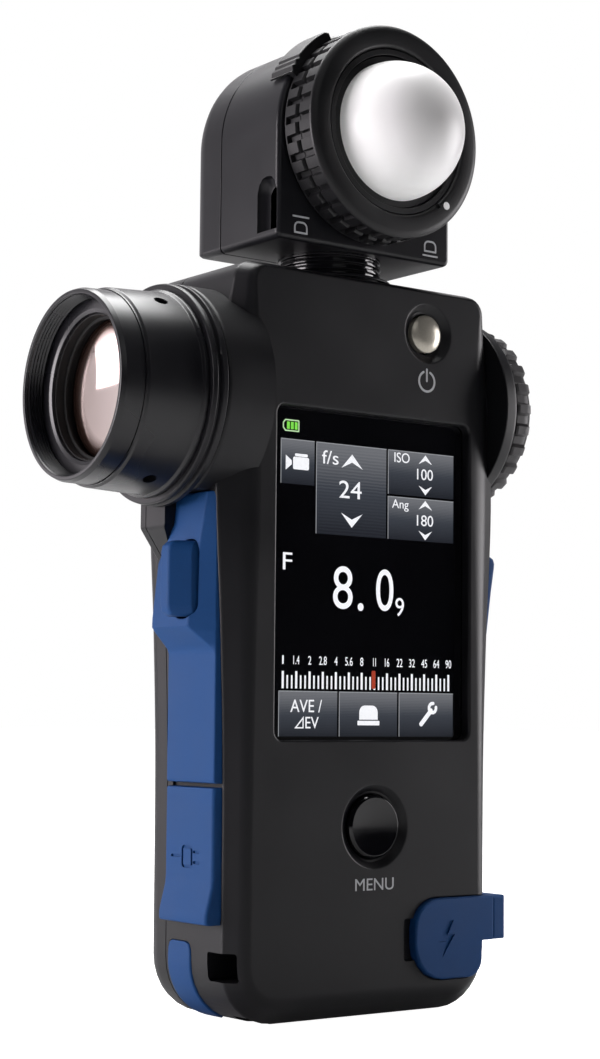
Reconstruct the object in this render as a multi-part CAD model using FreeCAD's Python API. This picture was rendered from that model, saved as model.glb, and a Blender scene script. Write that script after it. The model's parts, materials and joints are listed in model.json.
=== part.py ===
"""Handheld exposure meter: incident dome head on a touch-screen body.

Frame, in millimetres: X to the user's right when facing the screen, Y away from
the user, Z up. The origin is the mouth of the tripod socket, in the middle of the
base. The head swivels about Z, the spot finder looks along -X.
"""
import FreeCAD, Part
import math
import os

# --- body ---------------------------------------------------------------------
FRONT_Y = -13.0            # plane of the screen side
BACK_Y = 14.5              # back of the grip
HUMP_Y = 18.5              # back of the deeper part behind the finder
SEAM_Y = 7.0               # where front and rear shells meet
TOP_Z = 131.5
WALL = 2.0
STATION_Z = (12.0, 45.0, 68.0, 92.0, 112.0, 124.0)
SIDE_W = (29.4, 29.6, 30.4, 31.6, 30.8, 29.3)      # half widths at the stations
FACE_W = (26.0, 26.6, 26.7, 27.0, 26.9, 26.2)      # the same at the front face
BEVEL_Y = 3.0
CORNER_R = 10.5            # lower corners
SHOULDER_R = 4.0           # upper corners
HUMP_Z = 84.0              # the deeper part starts here
BOARD_Y = -8.0             # front of the main board

# --- screen and front keys ------------------------------------------------------
WINDOW = (-20.9, 23.3, 48.3, 106.4)                 # x and z of the screen opening
GLASS_SET, GLASS_T = 2.2, 1.1                       # depth below the face, thickness
PANEL_T = 1.0
MENU_X, MENU_Z, MENU_R = 1.2, 33.1, 5.6
POWER_X, POWER_Z, POWER_R = 13.1, 122.6, 3.5
MENU_DISH_R, POWER_DISH_R = 7.4, 5.5                # dished surrounds at the front face
DISH_DEPTH = 1.0

# --- spot finder ----------------------------------------------------------------
AXIS_Y = 1.5
LENS_Z = 108.0
EYE_Z = 110.5
FLANGE_X0, FLANGE_X1, FLANGE_R = -34.9, -37.8, 19.5
BARREL_X, BARREL_R = -49.6, 17.2
RIM_X, RIM_R = -54.1, 16.3
FILTER_R = 15.25           # 30.5 mm filter thread
BOSS_X, BOSS_R = 32.4, 18.2
DIAL_X, DIAL_R = 36.9, 17.1
CUP_X = 39.9
TUBE_R = 8.0

# --- left side keys and covers --------------------------------------------------
PAD_Y0, PAD_Y1 = -9.6, 5.2
PAD_X = -31.2
PAD_Z0, PAD_Z1 = 40.9, 90.8
HUMP_TIP_X, HUMP_TIP_Z = -34.9, 67.6
BUTTON_Y0, BUTTON_Y1 = -6.9, -1.9
BUTTON_Z0, BUTTON_Z1 = 69.2, 82.2
BUTTON_X = -37.8
USB_Z = 28.0
INLAY_Y0, INLAY_Y1 = -0.8, 6.2
BOSS_FOOT_X = 29.2         # where the eyepiece boss leaves the side
WEB_Y0, WEB_Y1 = -1.0, 9.2  # web that runs from the side up to the lens boss
EYELET_Y0, EYELET_Y1 = -12.2, -5.4
EYELET_Z0, EYELET_Z1 = 7.3, 12.8
EYELET_X0, EYELET_X1 = -24.2, -19.0

# --- right side ------------------------------------------------------------------
SYNC_X, SYNC_Z, SYNC_R = 16.9, 13.0, 7.0
SYNC_TAB_X = 31.6
MEMORY_Y0, MEMORY_Y1 = -9.4, 0.6
MEMORY_Z0, MEMORY_Z1 = 65.5, 82.6

# --- power -----------------------------------------------------------------------
CELL_R, CELL_L = 7.1, 49.0
CELL_X, CELL_Y, CELL_Z0 = 7.8, 2.4, 15.5
BAY_X, BAY_Z0, BAY_Z1 = 17.0, 12.0, 67.0
DOOR_PIN_Y, DOOR_PIN_Z, DOOR_PIN_R = 13.4, 12.9, 0.5
SOCKET_R = 3.175           # 1/4 inch tripod thread
SOCKET_L = 7.0

# --- head ------------------------------------------------------------------------
HEAD_FRONT, HEAD_SEAM, HEAD_BACK = -11.0, 6.6, 16.8
HEAD_Z0, DOME_Z = 136.3, 156.8
HEAD_HALF = 20.0
NECK_R, NECK_TOP = 9.5, 138.6
NECK_HOLE_R = 10.7
SLEEVE_R0, SLEEVE_R1 = 13.8, 14.9
RING_R0, RING_R1 = 15.0, 19.2
RING_FRONT, RING_SPLIT, RING_BACK = -19.9, -15.2, -11.3
RING_TEETH = 36
DOME_R, DOME_BASE = 12.45, -19.1
LUG_R0, LUG_R1 = 20.3, 21.5

# --- case screws -----------------------------------------------------------------
SCREW_R = 1.1
SCREW_SPOTS = ((-13.0, 6.0), (13.0, 6.0), (-25.2, 42.0), (25.2, 42.0),
               (-24.6, 126.2), (24.6, 126.2))


def vec(x, y, z):
    return FreeCAD.Vector(x, y, z)


def box(x0, x1, y0, y1, z0, z1):
    return Part.makeBox(x1 - x0, y1 - y0, z1 - z0, vec(x0, y0, z0))


def rod_x(y, z, r, x0, x1):
    return Part.makeCylinder(r, x1 - x0, vec(x0, y, z), vec(1, 0, 0))


def rod_y(x, z, r, y0, y1):
    return Part.makeCylinder(r, y1 - y0, vec(x, y0, z), vec(0, 1, 0))


def rod_z(x, y, r, z0, z1):
    return Part.makeCylinder(r, z1 - z0, vec(x, y, z0), vec(0, 0, 1))


def fuse(first, *others):
    shape = first
    for other in others:
        shape = shape.fuse(other)
    return shape.removeSplitter()


def turned(points, base, axis):
    """Solid of revolution: points are (along the axis, radius) pairs."""
    wire = Part.makePolygon([vec(r, 0, a) for a, r in points + points[:1]])
    solid = Part.Face(wire).revolve(vec(0, 0, 0), vec(0, 0, 1), 360)
    turn = FreeCAD.Rotation(vec(0, 0, 1), axis)
    solid.Placement = FreeCAD.Placement(base, turn)
    return solid


def plate_xz(points, y0, y1):
    """Prism with an outline in X and Z, from y0 back to y1."""
    wire = Part.makePolygon([vec(x, y0, z) for x, z in points + points[:1]])
    return Part.Face(wire).extrude(vec(0, y1 - y0, 0))


def plate_yz(points, x0, x1):
    """Prism with an outline in Y and Z, from x0 to x1."""
    wire = Part.makePolygon([vec(x0, y, z) for y, z in points + points[:1]])
    return Part.Face(wire).extrude(vec(x1 - x0, 0, 0))


def soft_box(x0, x1, y0, y1, z0, z1, radius, along):
    """Box whose four edges along one direction are rounded."""
    solid = box(x0, x1, y0, y1, z0, z1)
    edges = [e for e in solid.Edges if abs(e.tangentAt(e.FirstParameter).dot(along)) > 0.99]
    return solid.makeFillet(radius, edges)


def outline(widths, y, z0, z1, low_r, top_r):
    """Closed body outline at depth y: straight base and top, rounded corners,
    and a smooth curve through the half widths up each side."""
    top_w = widths[-1] - 0.9
    curve = Part.BSplineCurve()
    side = [vec(widths[0] - 0.1, y, z0 + low_r)]
    side += [vec(w, y, z) for w, z in zip(widths, STATION_Z)]
    side.append(vec(top_w, y, z1 - top_r))
    curve.interpolate(side)
    right = curve.toShape()
    mirror = FreeCAD.Vector(1, 0, 0)
    left = right.mirror(vec(0, 0, 0), mirror)
    half = math.sqrt(0.5)

    def corner(x, z, r, sx, sz):
        start = vec(sx * x, y, z)
        middle = vec(sx * (x - r + r * half), y, z + sz * r * half)
        end = vec(sx * (x - r), y, z + sz * r)
        return Part.Arc(start, middle, end).toShape()

    low_x, high_x = widths[0] - 0.1, top_w
    edges = [right, left]
    for sx in (1, -1):
        edges.append(corner(low_x, z0 + low_r, low_r, sx, -1))
        edges.append(corner(high_x, z1 - top_r, top_r, sx, 1))
    edges.append(Part.makeLine(vec(low_r - low_x, y, z0), vec(low_x - low_r, y, z0)))
    edges.append(Part.makeLine(vec(top_r - high_x, y, z1), vec(high_x - top_r, y, z1)))
    return Part.Wire(Part.__sortEdges__(edges))


def body_block(inset):
    """Outer body without its finder boss, or its cavity when inset is the wall."""
    side = tuple(w - inset for w in SIDE_W)
    face = tuple(w - inset * 0.6 for w in FACE_W)
    front = FRONT_Y + inset
    low_r, top_r = CORNER_R - inset, SHOULDER_R - inset * 0.8
    face_wire = outline(face, front, 2.2 + inset * 0.5, TOP_Z - 1.0 - inset * 0.5,
                        low_r - 2.0, top_r - 1.0)
    side_wire = outline(side, front + BEVEL_Y, inset, TOP_Z - inset, low_r, top_r)
    bevel = Part.makeLoft([face_wire, side_wire], True, True)
    main = Part.Face(side_wire).extrude(vec(0, HUMP_Y - inset - front - BEVEL_Y, 0))
    back = BACK_Y - inset
    hump = HUMP_Y - inset
    keep = plate_yz([(front - 1, -1), (back - 4.5, -1), (back, 3.5), (back, HUMP_Z + inset),
                     (hump, HUMP_Z + 9 + inset), (hump, TOP_Z - 5 - inset),
                     (hump - 5, TOP_Z + 1), (front - 1, TOP_Z + 1)], -40, 40)
    block = fuse(bevel, main).common(keep)
    return block.common(side_trim(inset))


def side_trim(inset):
    """Plan-view limit that rounds the rear edges of the grip and the hump."""
    half, back = 33.0 - inset, HUMP_Y - inset
    trim = box(-half, half, FRONT_Y - 1, back, -1, TOP_Z + 1)
    for sx in (1, -1):
        grip = plate_corner(sx, 29.6 - inset, BACK_Y - inset, 5.0, -1, HUMP_Z + 2)
        top = plate_corner(sx, 31.0 - inset, back, 5.0, HUMP_Z + 2, TOP_Z + 1)
        trim = trim.cut(grip).cut(top)
    return trim


def plate_corner(sx, x, back, r, z0, z1):
    """What is cut away outside a vertical rear corner of radius r."""
    block = box(x - r, x + 9, back - r, back + 9, z0, z1)
    block = block.cut(rod_z(x - r, back - r, r, z0, z1))
    keep = box(x, x + 9, back - r - 1, back - r, z0, z1)
    block = block.cut(keep)
    return block if sx > 0 else block.mirror(vec(0, 0, 0), vec(1, 0, 0))


def finder_bosses(grow):
    """The round boss behind the lens flange with its wedge, and the eyepiece boss."""
    lens = rod_x(AXIS_Y, LENS_Z, FLANGE_R - grow, FLANGE_X0 + grow, -26)
    wedge = plate_xz([(-27, 76.5 + grow), (-29.6 + grow, 77.6 + grow),
                      (FLANGE_X0 + grow, 85.1), (FLANGE_X0 + grow, LENS_Z), (-27, LENS_Z)],
                     WEB_Y0 + grow, WEB_Y1 - grow)
    if grow:
        return [lens, wedge]
    eye = turned([(24, 0), (24, 12.0), (BOSS_FOOT_X, 12.0), (BOSS_FOOT_X, BOSS_R + 0.3),
                  (BOSS_X, BOSS_R), (BOSS_X, 0)], vec(0, AXIS_Y, EYE_Z), vec(1, 0, 0))
    return [lens, wedge, eye]


def web_flank():
    """Room behind the top of the pad that the web up to the lens boss fills."""
    return plate_yz([(5.4, 77.5), (1.0, 85.5), (1.0, 92.0), (8.0, 92.0), (8.0, 77.5)], -40, -28)


def case_solid():
    """Both shells in one piece, hollow, before the seam cut."""
    outer = fuse(body_block(0), *finder_bosses(0))
    inner = fuse(body_block(WALL), *finder_bosses(WALL))
    return outer.cut(inner)


def inlay_band():
    """Rubber strip that follows the lower left corner."""
    arc = turned([(INLAY_Y0, 8.9), (INLAY_Y0, 10.8), (INLAY_Y1, 10.8), (INLAY_Y1, 8.9)],
                 vec(CORNER_R - SIDE_W[0] + 0.1, 0, CORNER_R), vec(0, 1, 0))
    band = arc.common(box(-31, -21, INLAY_Y0, INLAY_Y1, 0.05, CORNER_R))
    side = box(-29.6, -27.7, INLAY_Y0, INLAY_Y1, CORNER_R, 13.6)
    return fuse(band, side)


def eyelet_tunnel():
    """Strap hole: in through the left side and out at the base."""
    across = box(-32, EYELET_X1, EYELET_Y0, EYELET_Y1, EYELET_Z0, EYELET_Z1)
    down = box(EYELET_X0, EYELET_X1, EYELET_Y0, EYELET_Y1, -1, EYELET_Z1)
    return fuse(across, down)


def eyelet_walls():
    """Inner walls that close the strap hole off from the inside of the case."""
    outer = box(-29, EYELET_X1 + 1.2, FRONT_Y + 1, EYELET_Y1 + 1.2, 1, EYELET_Z1 + 1.2)
    return outer.common(body_block(0.5))


def sync_plate(y0, y1, grow):
    """Outline of the sync socket cover: a disc that runs out into a side tab."""
    disc = rod_y(SYNC_X, SYNC_Z, SYNC_R + grow, y0, y1)
    low = rod_y(SYNC_X + 1.4, SYNC_Z + 0.4, SYNC_R + 0.4 + grow, y0, y1)
    tab = box(SYNC_X, 28.4 + grow, y0, y1, 12.0 - grow, SYNC_Z + SYNC_R + grow)
    return fuse(disc, low, tab)


def dish(x, z, mouth_r, floor_r):
    """Conical dip in the front face round a key."""
    points = [(0.0, mouth_r), (DISH_DEPTH, floor_r), (DISH_DEPTH, 0), (0.0, 0)]
    return turned(points, vec(x, FRONT_Y, z), vec(0, 1, 0))


def front_shell():
    shell = case_solid().common(box(-60, 60, -30, SEAM_Y, -5, 140))
    posts = []
    for x, z in SCREW_SPOTS:
        posts.append(rod_y(x, z, 2.4, FRONT_Y + 1.2, SEAM_Y).common(body_block(0.5)))
    socket_well = box(-7.5, 7.5, -7.0, SEAM_Y - 0.2, 1.0, 9.6)
    shell = fuse(shell, eyelet_walls(), socket_well, *posts)
    for x, z in SCREW_SPOTS:
        shell = shell.cut(rod_y(x, z, SCREW_R, -6.0, SEAM_Y + 1))
    x0, x1, z0, z1 = WINDOW
    cuts = [
        soft_box(x0, x1, FRONT_Y - 1, FRONT_Y + WALL + 1, z0, z1, 1.6, vec(0, 1, 0)),
        rod_y(MENU_X, MENU_Z, MENU_R + 0.1, FRONT_Y - 1, FRONT_Y + WALL + 1),
        rod_y(POWER_X, POWER_Z, POWER_R + 0.1, FRONT_Y - 1, FRONT_Y + WALL + 1),
        dish(MENU_X, MENU_Z, MENU_DISH_R, MENU_R + 0.3),
        dish(POWER_X, POWER_Z, POWER_DISH_R, POWER_R + 0.3),
        rod_x(AXIS_Y, LENS_Z, 14.0, -40, -26),
        rod_x(AXIS_Y, EYE_Z, 13.0, 24, 40),
        rod_z(0, 0, NECK_HOLE_R, TOP_Z - 4, TOP_Z + 1),
        box(-40, -29.0, PAD_Y0, PAD_Y1, 17.0, PAD_Z1).cut(web_flank()),
        box(-30, -26, -7.3, -1.5, 68.8, 82.6),
        box(-31, -26, -6.0, 4.0, USB_Z - 5, USB_Z + 5),
        box(26.0, 40, MEMORY_Y0 - 0.1, MEMORY_Y1 + 0.1, MEMORY_Z0 - 0.1, MEMORY_Z1 + 0.1),
        inlay_band(),
        eyelet_tunnel(),
        sync_plate(FRONT_Y - 1, FRONT_Y + 1.0, 0.1),
        rod_y(SYNC_X, SYNC_Z, 5.0, FRONT_Y - 1, FRONT_Y + WALL + 1),
        box(27.0, 34, FRONT_Y - 1, FRONT_Y + 6.2, 11.9, 20.1),
        box(7.9, SYNC_X, FRONT_Y - 1, FRONT_Y + 1.0, 9.4, 16.7),
        rod_z(0, 0, SOCKET_R + 2.3, -1, SOCKET_L + 1),
    ]
    for tool in cuts:
        shell = shell.cut(tool)
    return largest(shell)


def largest(shape):
    return max(shape.Solids, key=lambda s: s.Volume)


def rear_cover():
    cover = case_solid().common(box(-60, 60, SEAM_Y, 40, -5, 140))
    for x, z in SCREW_SPOTS:
        cover = fuse(cover, rod_y(x, z, 2.4, SEAM_Y, HUMP_Y).common(body_block(0.5)))
    for x, z in SCREW_SPOTS:
        head_y = (HUMP_Y if z > HUMP_Z else BACK_Y) - 1.6
        cover = cover.cut(rod_y(x, z, SCREW_R + 0.1, SEAM_Y - 1, HUMP_Y + 1))
        cover = cover.cut(rod_y(x, z, 2.1, head_y, HUMP_Y + 1))
    cuts = [
        box(-BAY_X, BAY_X, SEAM_Y - 1, BACK_Y + 1, BAY_Z0 - 0.3, BAY_Z1),
        rod_z(0, 0, NECK_HOLE_R, TOP_Z - 4, TOP_Z + 1),
        rod_x(AXIS_Y, LENS_Z, 14.0, -40, -26),
        rod_x(AXIS_Y, EYE_Z, 13.0, 24, 40),
        rod_x(DOOR_PIN_Y, DOOR_PIN_Z, DOOR_PIN_R, -BAY_X - 1.4, BAY_X + 1.4),
        rod_y(0, BAY_Z1 + 2.0, 5.5, BACK_Y - 0.9, BACK_Y + 1),
    ]
    for tool in cuts:
        cover = cover.cut(tool)
    return largest(cover)


def battery_cover():
    """Door that hinges on a pin along its lower edge."""
    door = box(-BAY_X + 0.25, BAY_X - 0.25, BACK_Y - 2.1, BACK_Y, DOOR_PIN_Z, BAY_Z1 - 0.3)
    knuckle = rod_x(DOOR_PIN_Y, DOOR_PIN_Z, 1.05, -BAY_X + 0.25, BAY_X - 0.25)
    ribs = box(-BAY_X + 2, BAY_X - 2, BACK_Y - 2.9, BACK_Y - 2.0, 20.0, BAY_Z1 - 4)
    door = fuse(door, knuckle, ribs)
    bore = rod_x(DOOR_PIN_Y, DOOR_PIN_Z, DOOR_PIN_R + 0.05, -BAY_X, BAY_X)
    groove_z = [BAY_Z1 - 4.0 - 1.6 * i for i in range(5)]
    for z in groove_z:
        door = door.cut(box(-7, 7, BACK_Y - 0.5, BACK_Y + 1, z, z + 0.8))
    return door.cut(bore)


def battery_hinge_pin():
    return rod_x(DOOR_PIN_Y, DOOR_PIN_Z, DOOR_PIN_R, -BAY_X - 1.4, BAY_X + 1.4)


def battery_tray():
    z0, z1 = CELL_Z0 - 2.6, CELL_Z0 + CELL_L + 2.2
    tray = box(-16.4, 16.4, BOARD_Y + 2.6, 9.6, z0, z1)
    for sx in (-1, 1):
        tray = tray.cut(rod_z(sx * CELL_X, CELL_Y, CELL_R + 0.2, CELL_Z0 - 1.2, z1 - 0.8))
        tray = tray.cut(box(sx * CELL_X - 6.6, sx * CELL_X + 6.6, CELL_Y, 10,
                            CELL_Z0 - 1.2, z1 - 0.8))
    return tray


def battery_cell(sx):
    can = rod_z(sx * CELL_X, CELL_Y, CELL_R, CELL_Z0, CELL_Z0 + CELL_L - 1.2)
    nub = rod_z(sx * CELL_X, CELL_Y, 2.6, CELL_Z0 + CELL_L - 1.3, CELL_Z0 + CELL_L)
    return fuse(can, nub)


def battery_contacts():
    """Two coil springs below the cells and one bridge plate above them."""
    pieces = []
    for sx in (-1, 1):
        coil = turned([(0, 2.2), (1.2, 2.2), (1.2, 3.4), (0, 3.4)],
                      vec(sx * CELL_X, CELL_Y, CELL_Z0 - 1.2), vec(0, 0, 1))
        pieces.append(coil)
    top = CELL_Z0 + CELL_L
    for sx in (-1, 1):
        pieces.append(box(sx * CELL_X - 4, sx * CELL_X + 4, CELL_Y - 4, CELL_Y + 4,
                          top + 0.1, top + 0.9))
    return Part.makeCompound(pieces)


def display_glass():
    x0, x1, z0, z1 = WINDOW
    front = FRONT_Y + GLASS_SET
    return soft_box(x0 - 0.6, x1 + 0.6, front, front + GLASS_T, z0 - 0.8, z1 + 0.8, 1.5,
                    vec(0, 1, 0))


def display_panel():
    x0, x1, z0, z1 = WINDOW
    front = FRONT_Y + GLASS_SET + GLASS_T
    return box(x0 - 0.6, x1 + 0.6, front, front + PANEL_T, z0 - 2.0, z1 + 1.6)


def main_board():
    board = box(-23.4, 23.4, BOARD_Y, BOARD_Y + 1.2, 22.0, 122.0)
    for x, z in SCREW_SPOTS:
        board = board.cut(rod_y(x, z, 2.7, BOARD_Y - 1, BOARD_Y + 2))
    chips = [box(-9, 3, BOARD_Y - 0.7, BOARD_Y, 24, 27)]
    for i in range(3):
        chips.append(box(-18 + 13 * i, -9 + 13 * i, BOARD_Y + 1.2, BOARD_Y + 2.2, 74, 83))
    return fuse(board, *chips)


def tripod_socket():
    socket = rod_z(0, 0, SOCKET_R + 2.3, 0, SOCKET_L + 0.8)
    return socket.cut(rod_z(0, 0, SOCKET_R, -1, SOCKET_L))


def case_screws():
    screws = []
    for x, z in SCREW_SPOTS:
        head_y = (HUMP_Y if z > HUMP_Z else BACK_Y) - 1.6
        screw = fuse(rod_y(x, z, SCREW_R, -6.0, head_y), rod_y(x, z, 2.0, head_y, head_y + 1.0))
        screws.append(screw.cut(box(x - 1.5, x + 1.5, head_y + 0.4, head_y + 2, z - 0.3, z + 0.3)))
    return Part.makeCompound(screws)


def side_pad():
    """Rubber thumb pad with the raised rest around the measuring button."""
    pad = plate_xz([(-29.0, PAD_Z0), (PAD_X, PAD_Z0), (PAD_X, 63.6),
                    (HUMP_TIP_X, HUMP_TIP_Z), (-32.3, PAD_Z1), (-29.0, PAD_Z1)],
                   PAD_Y0, PAD_Y1)
    return pad.cut(box(-40, -28, -7.3, -1.5, 68.8, 82.6)).cut(web_flank())


def measuring_button():
    cap = soft_box(BUTTON_X, -29.4, BUTTON_Y0, BUTTON_Y1, BUTTON_Z0, BUTTON_Z1, 1.4, vec(1, 0, 0))
    stem = box(-29.4, -27.8, -5.4, -3.4, 74.0, 78.0)
    return fuse(cap, stem)


def usb_cap():
    """Rubber flap over the data port, thinned to a hinge at its top edge."""
    cap = plate_xz([(-29.05, 17.2), (-32.5, 17.2), (-32.5, 19.0), (PAD_X, 24.5),
                    (PAD_X, 40.2), (-29.05, 40.2)], PAD_Y0 + 0.1, PAD_Y1 - 0.1)
    plug = box(-29.2, -28.4, -2.4, 0.4, USB_Z - 3.5, USB_Z + 3.5)
    return fuse(cap, plug)


def usb_port():
    port = box(-28.9, -22.5, -4.0, 2.0, USB_Z - 4.8, USB_Z + 4.8)
    port = port.cut(box(-30, -23.5, -2.6, 0.6, USB_Z - 3.8, USB_Z + 3.8))
    return fuse(port, box(-28.0, -23.0, -1.4, -0.6, USB_Z - 2.8, USB_Z + 2.8))


def sync_cap():
    plate = sync_plate(FRONT_Y - 1.0, FRONT_Y + 0.9, 0)
    wrap = box(28.3, SYNC_TAB_X, FRONT_Y + 0.0, FRONT_Y + 6.0, 12.0, 20.0)
    bridge = box(27.4, 29.0, FRONT_Y - 0.4, FRONT_Y + 2.4, 12.0, 20.0)
    plug = rod_y(SYNC_X, SYNC_Z, 2.4, FRONT_Y + 0.8, FRONT_Y + 2.2)
    return fuse(plate, bridge, wrap, plug)


def sync_terminal():
    socket = rod_y(SYNC_X, SYNC_Z, 4.9, FRONT_Y + 1.1, BOARD_Y + 2.2)
    socket = socket.cut(rod_y(SYNC_X, SYNC_Z, 2.9, FRONT_Y, BOARD_Y + 1))
    return fuse(socket, rod_y(SYNC_X, SYNC_Z, 0.8, FRONT_Y + 3.4, BOARD_Y + 2))


def memory_button():
    cap = plate_xz([(29.1, MEMORY_Z0), (30.9, MEMORY_Z0), (33.2, MEMORY_Z1 - 1.6),
                    (33.0, MEMORY_Z1), (29.1, MEMORY_Z1)], MEMORY_Y0, MEMORY_Y1)
    stem = box(27.8, 29.2, -5.4, -3.4, 72.0, 76.0)
    return fuse(cap, stem)


def power_button():
    points = [(0.0, 0), (0.1, 1.6), (0.45, 2.8), (0.9, POWER_R), (2.6, POWER_R), (2.6, 0)]
    cap = turned(points, vec(POWER_X, FRONT_Y - 0.3, POWER_Z), vec(0, 1, 0))
    return fuse(cap, rod_y(POWER_X, POWER_Z, 1.2, FRONT_Y + 2.2, BOARD_Y - 1.5))


def menu_button():
    points = [(0.35, 0), (0.2, 3.0), (0.0, 4.6), (0.1, 5.2), (0.5, MENU_R), (2.6, MENU_R),
              (2.6, 0)]
    cap = turned(points, vec(MENU_X, FRONT_Y - 0.1, MENU_Z), vec(0, 1, 0))
    return fuse(cap, rod_y(MENU_X, MENU_Z, 1.5, FRONT_Y + 2.4, BOARD_Y - 1.5))


def front_switches():
    spots = ((MENU_X, MENU_Z), (POWER_X, POWER_Z - 2.2))
    return Part.makeCompound([box(x - 3, x + 3, BOARD_Y - 0.6, BOARD_Y, z - 3, z + 3)
                              for x, z in spots])


def lens_flange():
    points = [(FLANGE_X0, 14.0), (FLANGE_X0, FLANGE_R), (-36.0, FLANGE_R), (-36.2, 19.0),
              (-36.7, 19.0), (-36.9, 19.4), (FLANGE_X1, 19.2), (FLANGE_X1, 14.0)]
    ring = turned(points, vec(0, AXIS_Y, LENS_Z), vec(1, 0, 0))
    spigot = turned([(-34.9, 11.0), (-34.9, 14.0), (-29.5, 14.0), (-29.5, 11.0)],
                    vec(0, AXIS_Y, LENS_Z), vec(1, 0, 0))
    web = turned([(-36.4, 11.0), (-34.9, 11.0), (-34.9, 14.2), (-36.4, 14.2)],
                 vec(0, AXIS_Y, LENS_Z), vec(1, 0, 0))
    return fuse(ring, spigot, web)


def lens_barrel():
    points = [(FLANGE_X1, 14.2), (FLANGE_X1, 18.2), (-38.6, 18.1), (-39.0, 17.7),
              (-48.9, BARREL_R), (BARREL_X, 16.9), (BARREL_X, 14.6), (-39.6, 14.2)]
    barrel = turned(points, vec(0, AXIS_Y, LENS_Z), vec(1, 0, 0))
    for angle in (100, 220, 340):
        a = math.radians(angle)
        hole = Part.makeCylinder(1.0, 6, vec(-42.6, AXIS_Y + 13 * math.cos(a),
                                             LENS_Z + 13 * math.sin(a)),
                                 vec(0, math.cos(a), math.sin(a)))
        barrel = barrel.cut(hole)
    return barrel


def barrel_screws():
    screws = []
    for angle in (100, 220, 340):
        a = math.radians(angle)
        screws.append(Part.makeCylinder(1.0, 2.0, vec(-42.6, AXIS_Y + 14.7 * math.cos(a),
                                                      LENS_Z + 14.7 * math.sin(a)),
                                        vec(0, math.cos(a), math.sin(a))))
    return Part.makeCompound(screws)


def front_ring():
    """Threaded front ring for a 30.5 mm filter or hood."""
    points = [(BARREL_X, 12.6), (BARREL_X, 16.6), (RIM_X + 0.8, RIM_R + 0.2), (RIM_X, RIM_R - 0.1),
              (RIM_X, FILTER_R + 0.3), (RIM_X + 0.3, FILTER_R), (RIM_X + 3.3, FILTER_R),
              (RIM_X + 3.5, 12.6)]
    return turned(points, vec(0, AXIS_Y, LENS_Z), vec(1, 0, 0))


def lens_cell():
    """Stepped black tube inside the barrel that carries the objective."""
    points = [(BARREL_X, 12.4), (BARREL_X, 14.4), (-40.0, 13.95), (-36.4, 13.95), (-36.4, 11.0),
              (-38.6, 11.0), (-38.6, 12.4)]
    return turned(points, vec(0, AXIS_Y, LENS_Z), vec(1, 0, 0))


def objective_lens():
    bulge = [(-44.6 - 2.2 * math.sqrt(1 - (r / 13.2) ** 2), r) for r in (0, 3, 6, 9, 11, 12.4)]
    return turned(bulge + [(-42.0, 12.4), (-41.2, 0)], vec(0, AXIS_Y, LENS_Z), vec(1, 0, 0))


def finder_tube():
    """Straight light path through the body, split for the spot sensor."""
    tube = rod_x(AXIS_Y, LENS_Z + 1.2, TUBE_R, -29.4, 23.8)
    tube = tube.cut(rod_x(AXIS_Y, LENS_Z + 1.2, TUBE_R - 1.2, -30, 25))
    return tube.cut(box(-3.2, 3.2, AXIS_Y - 4.2, AXIS_Y + 4.2, LENS_Z - 9, LENS_Z - 2))


def beam_splitter():
    y, z = AXIS_Y, LENS_Z + 1.2
    return box(-4.5, 4.5, y - 4.5, y + 4.5, z - 4.5, z + 4.5)


def spot_sensor():
    y = AXIS_Y
    carrier = box(-3, 3, y - 4, y + 4, LENS_Z - 9.6, LENS_Z - 8.4)
    return fuse(carrier, box(-1.5, 1.5, y - 1.5, y + 1.5, LENS_Z - 8.5, LENS_Z - 7.6))


def eyepiece_housing():
    points = [(24.0, 8.6), (24.0, 13.0), (BOSS_X, 13.0), (BOSS_X, 12.9), (CUP_X - 1.2, 12.9),
              (CUP_X - 1.2, 9.2), (33.0, 9.2), (33.0, 8.6)]
    return turned(points, vec(0, AXIS_Y, EYE_Z), vec(1, 0, 0))


def diopter_ring():
    """Knurled focusing ring that turns on the eyepiece housing."""
    points = [(BOSS_X + 0.7, 13.0), (BOSS_X + 0.7, 16.0), (BOSS_X + 1.3, DIAL_R),
              (DIAL_X - 0.6, DIAL_R), (DIAL_X, DIAL_R - 0.7), (DIAL_X, 13.0)]
    ring = turned(points, vec(0, AXIS_Y, EYE_Z), vec(1, 0, 0))
    slot = box(BOSS_X, CUP_X, -0.65, 0.65, DIAL_R - 0.6, DIAL_R + 1)
    slots = []
    for i in range(24):
        cut = slot.copy()
        cut.rotate(vec(0, 0, 0), vec(1, 0, 0), 15.0 * i)
        cut.translate(vec(0, AXIS_Y, EYE_Z))
        slots.append(cut)
    return ring.cut(Part.makeCompound(slots))


def eyecup():
    points = [(DIAL_X + 0.3, 12.95), (DIAL_X + 0.3, 14.6), (CUP_X - 0.6, 14.0), (CUP_X, 13.0),
              (CUP_X, 10.0), (CUP_X - 1.2, 9.2), (CUP_X - 1.2, 12.95)]
    return turned(points, vec(0, AXIS_Y, EYE_Z), vec(1, 0, 0))


def eyepiece_lens():
    points = [(34.2, 0), (34.6, 4.0), (35.2, 9.2), (37.2, 9.2), (37.8, 4.0), (38.0, 0)]
    return turned(points, vec(0, AXIS_Y, EYE_Z), vec(1, 0, 0))


def neck_bushing():
    bore, low, lip = NECK_R + 0.08, TOP_Z - 4.2, NECK_HOLE_R + 0.9
    points = [(low, bore), (low, NECK_HOLE_R - 0.05), (TOP_Z, NECK_HOLE_R - 0.05),
              (TOP_Z, lip), (TOP_Z + 0.3, lip), (TOP_Z + 0.5, lip - 0.2), (TOP_Z + 0.5, bore)]
    return turned(points, vec(0, 0, 0), vec(0, 0, 1))


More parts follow.
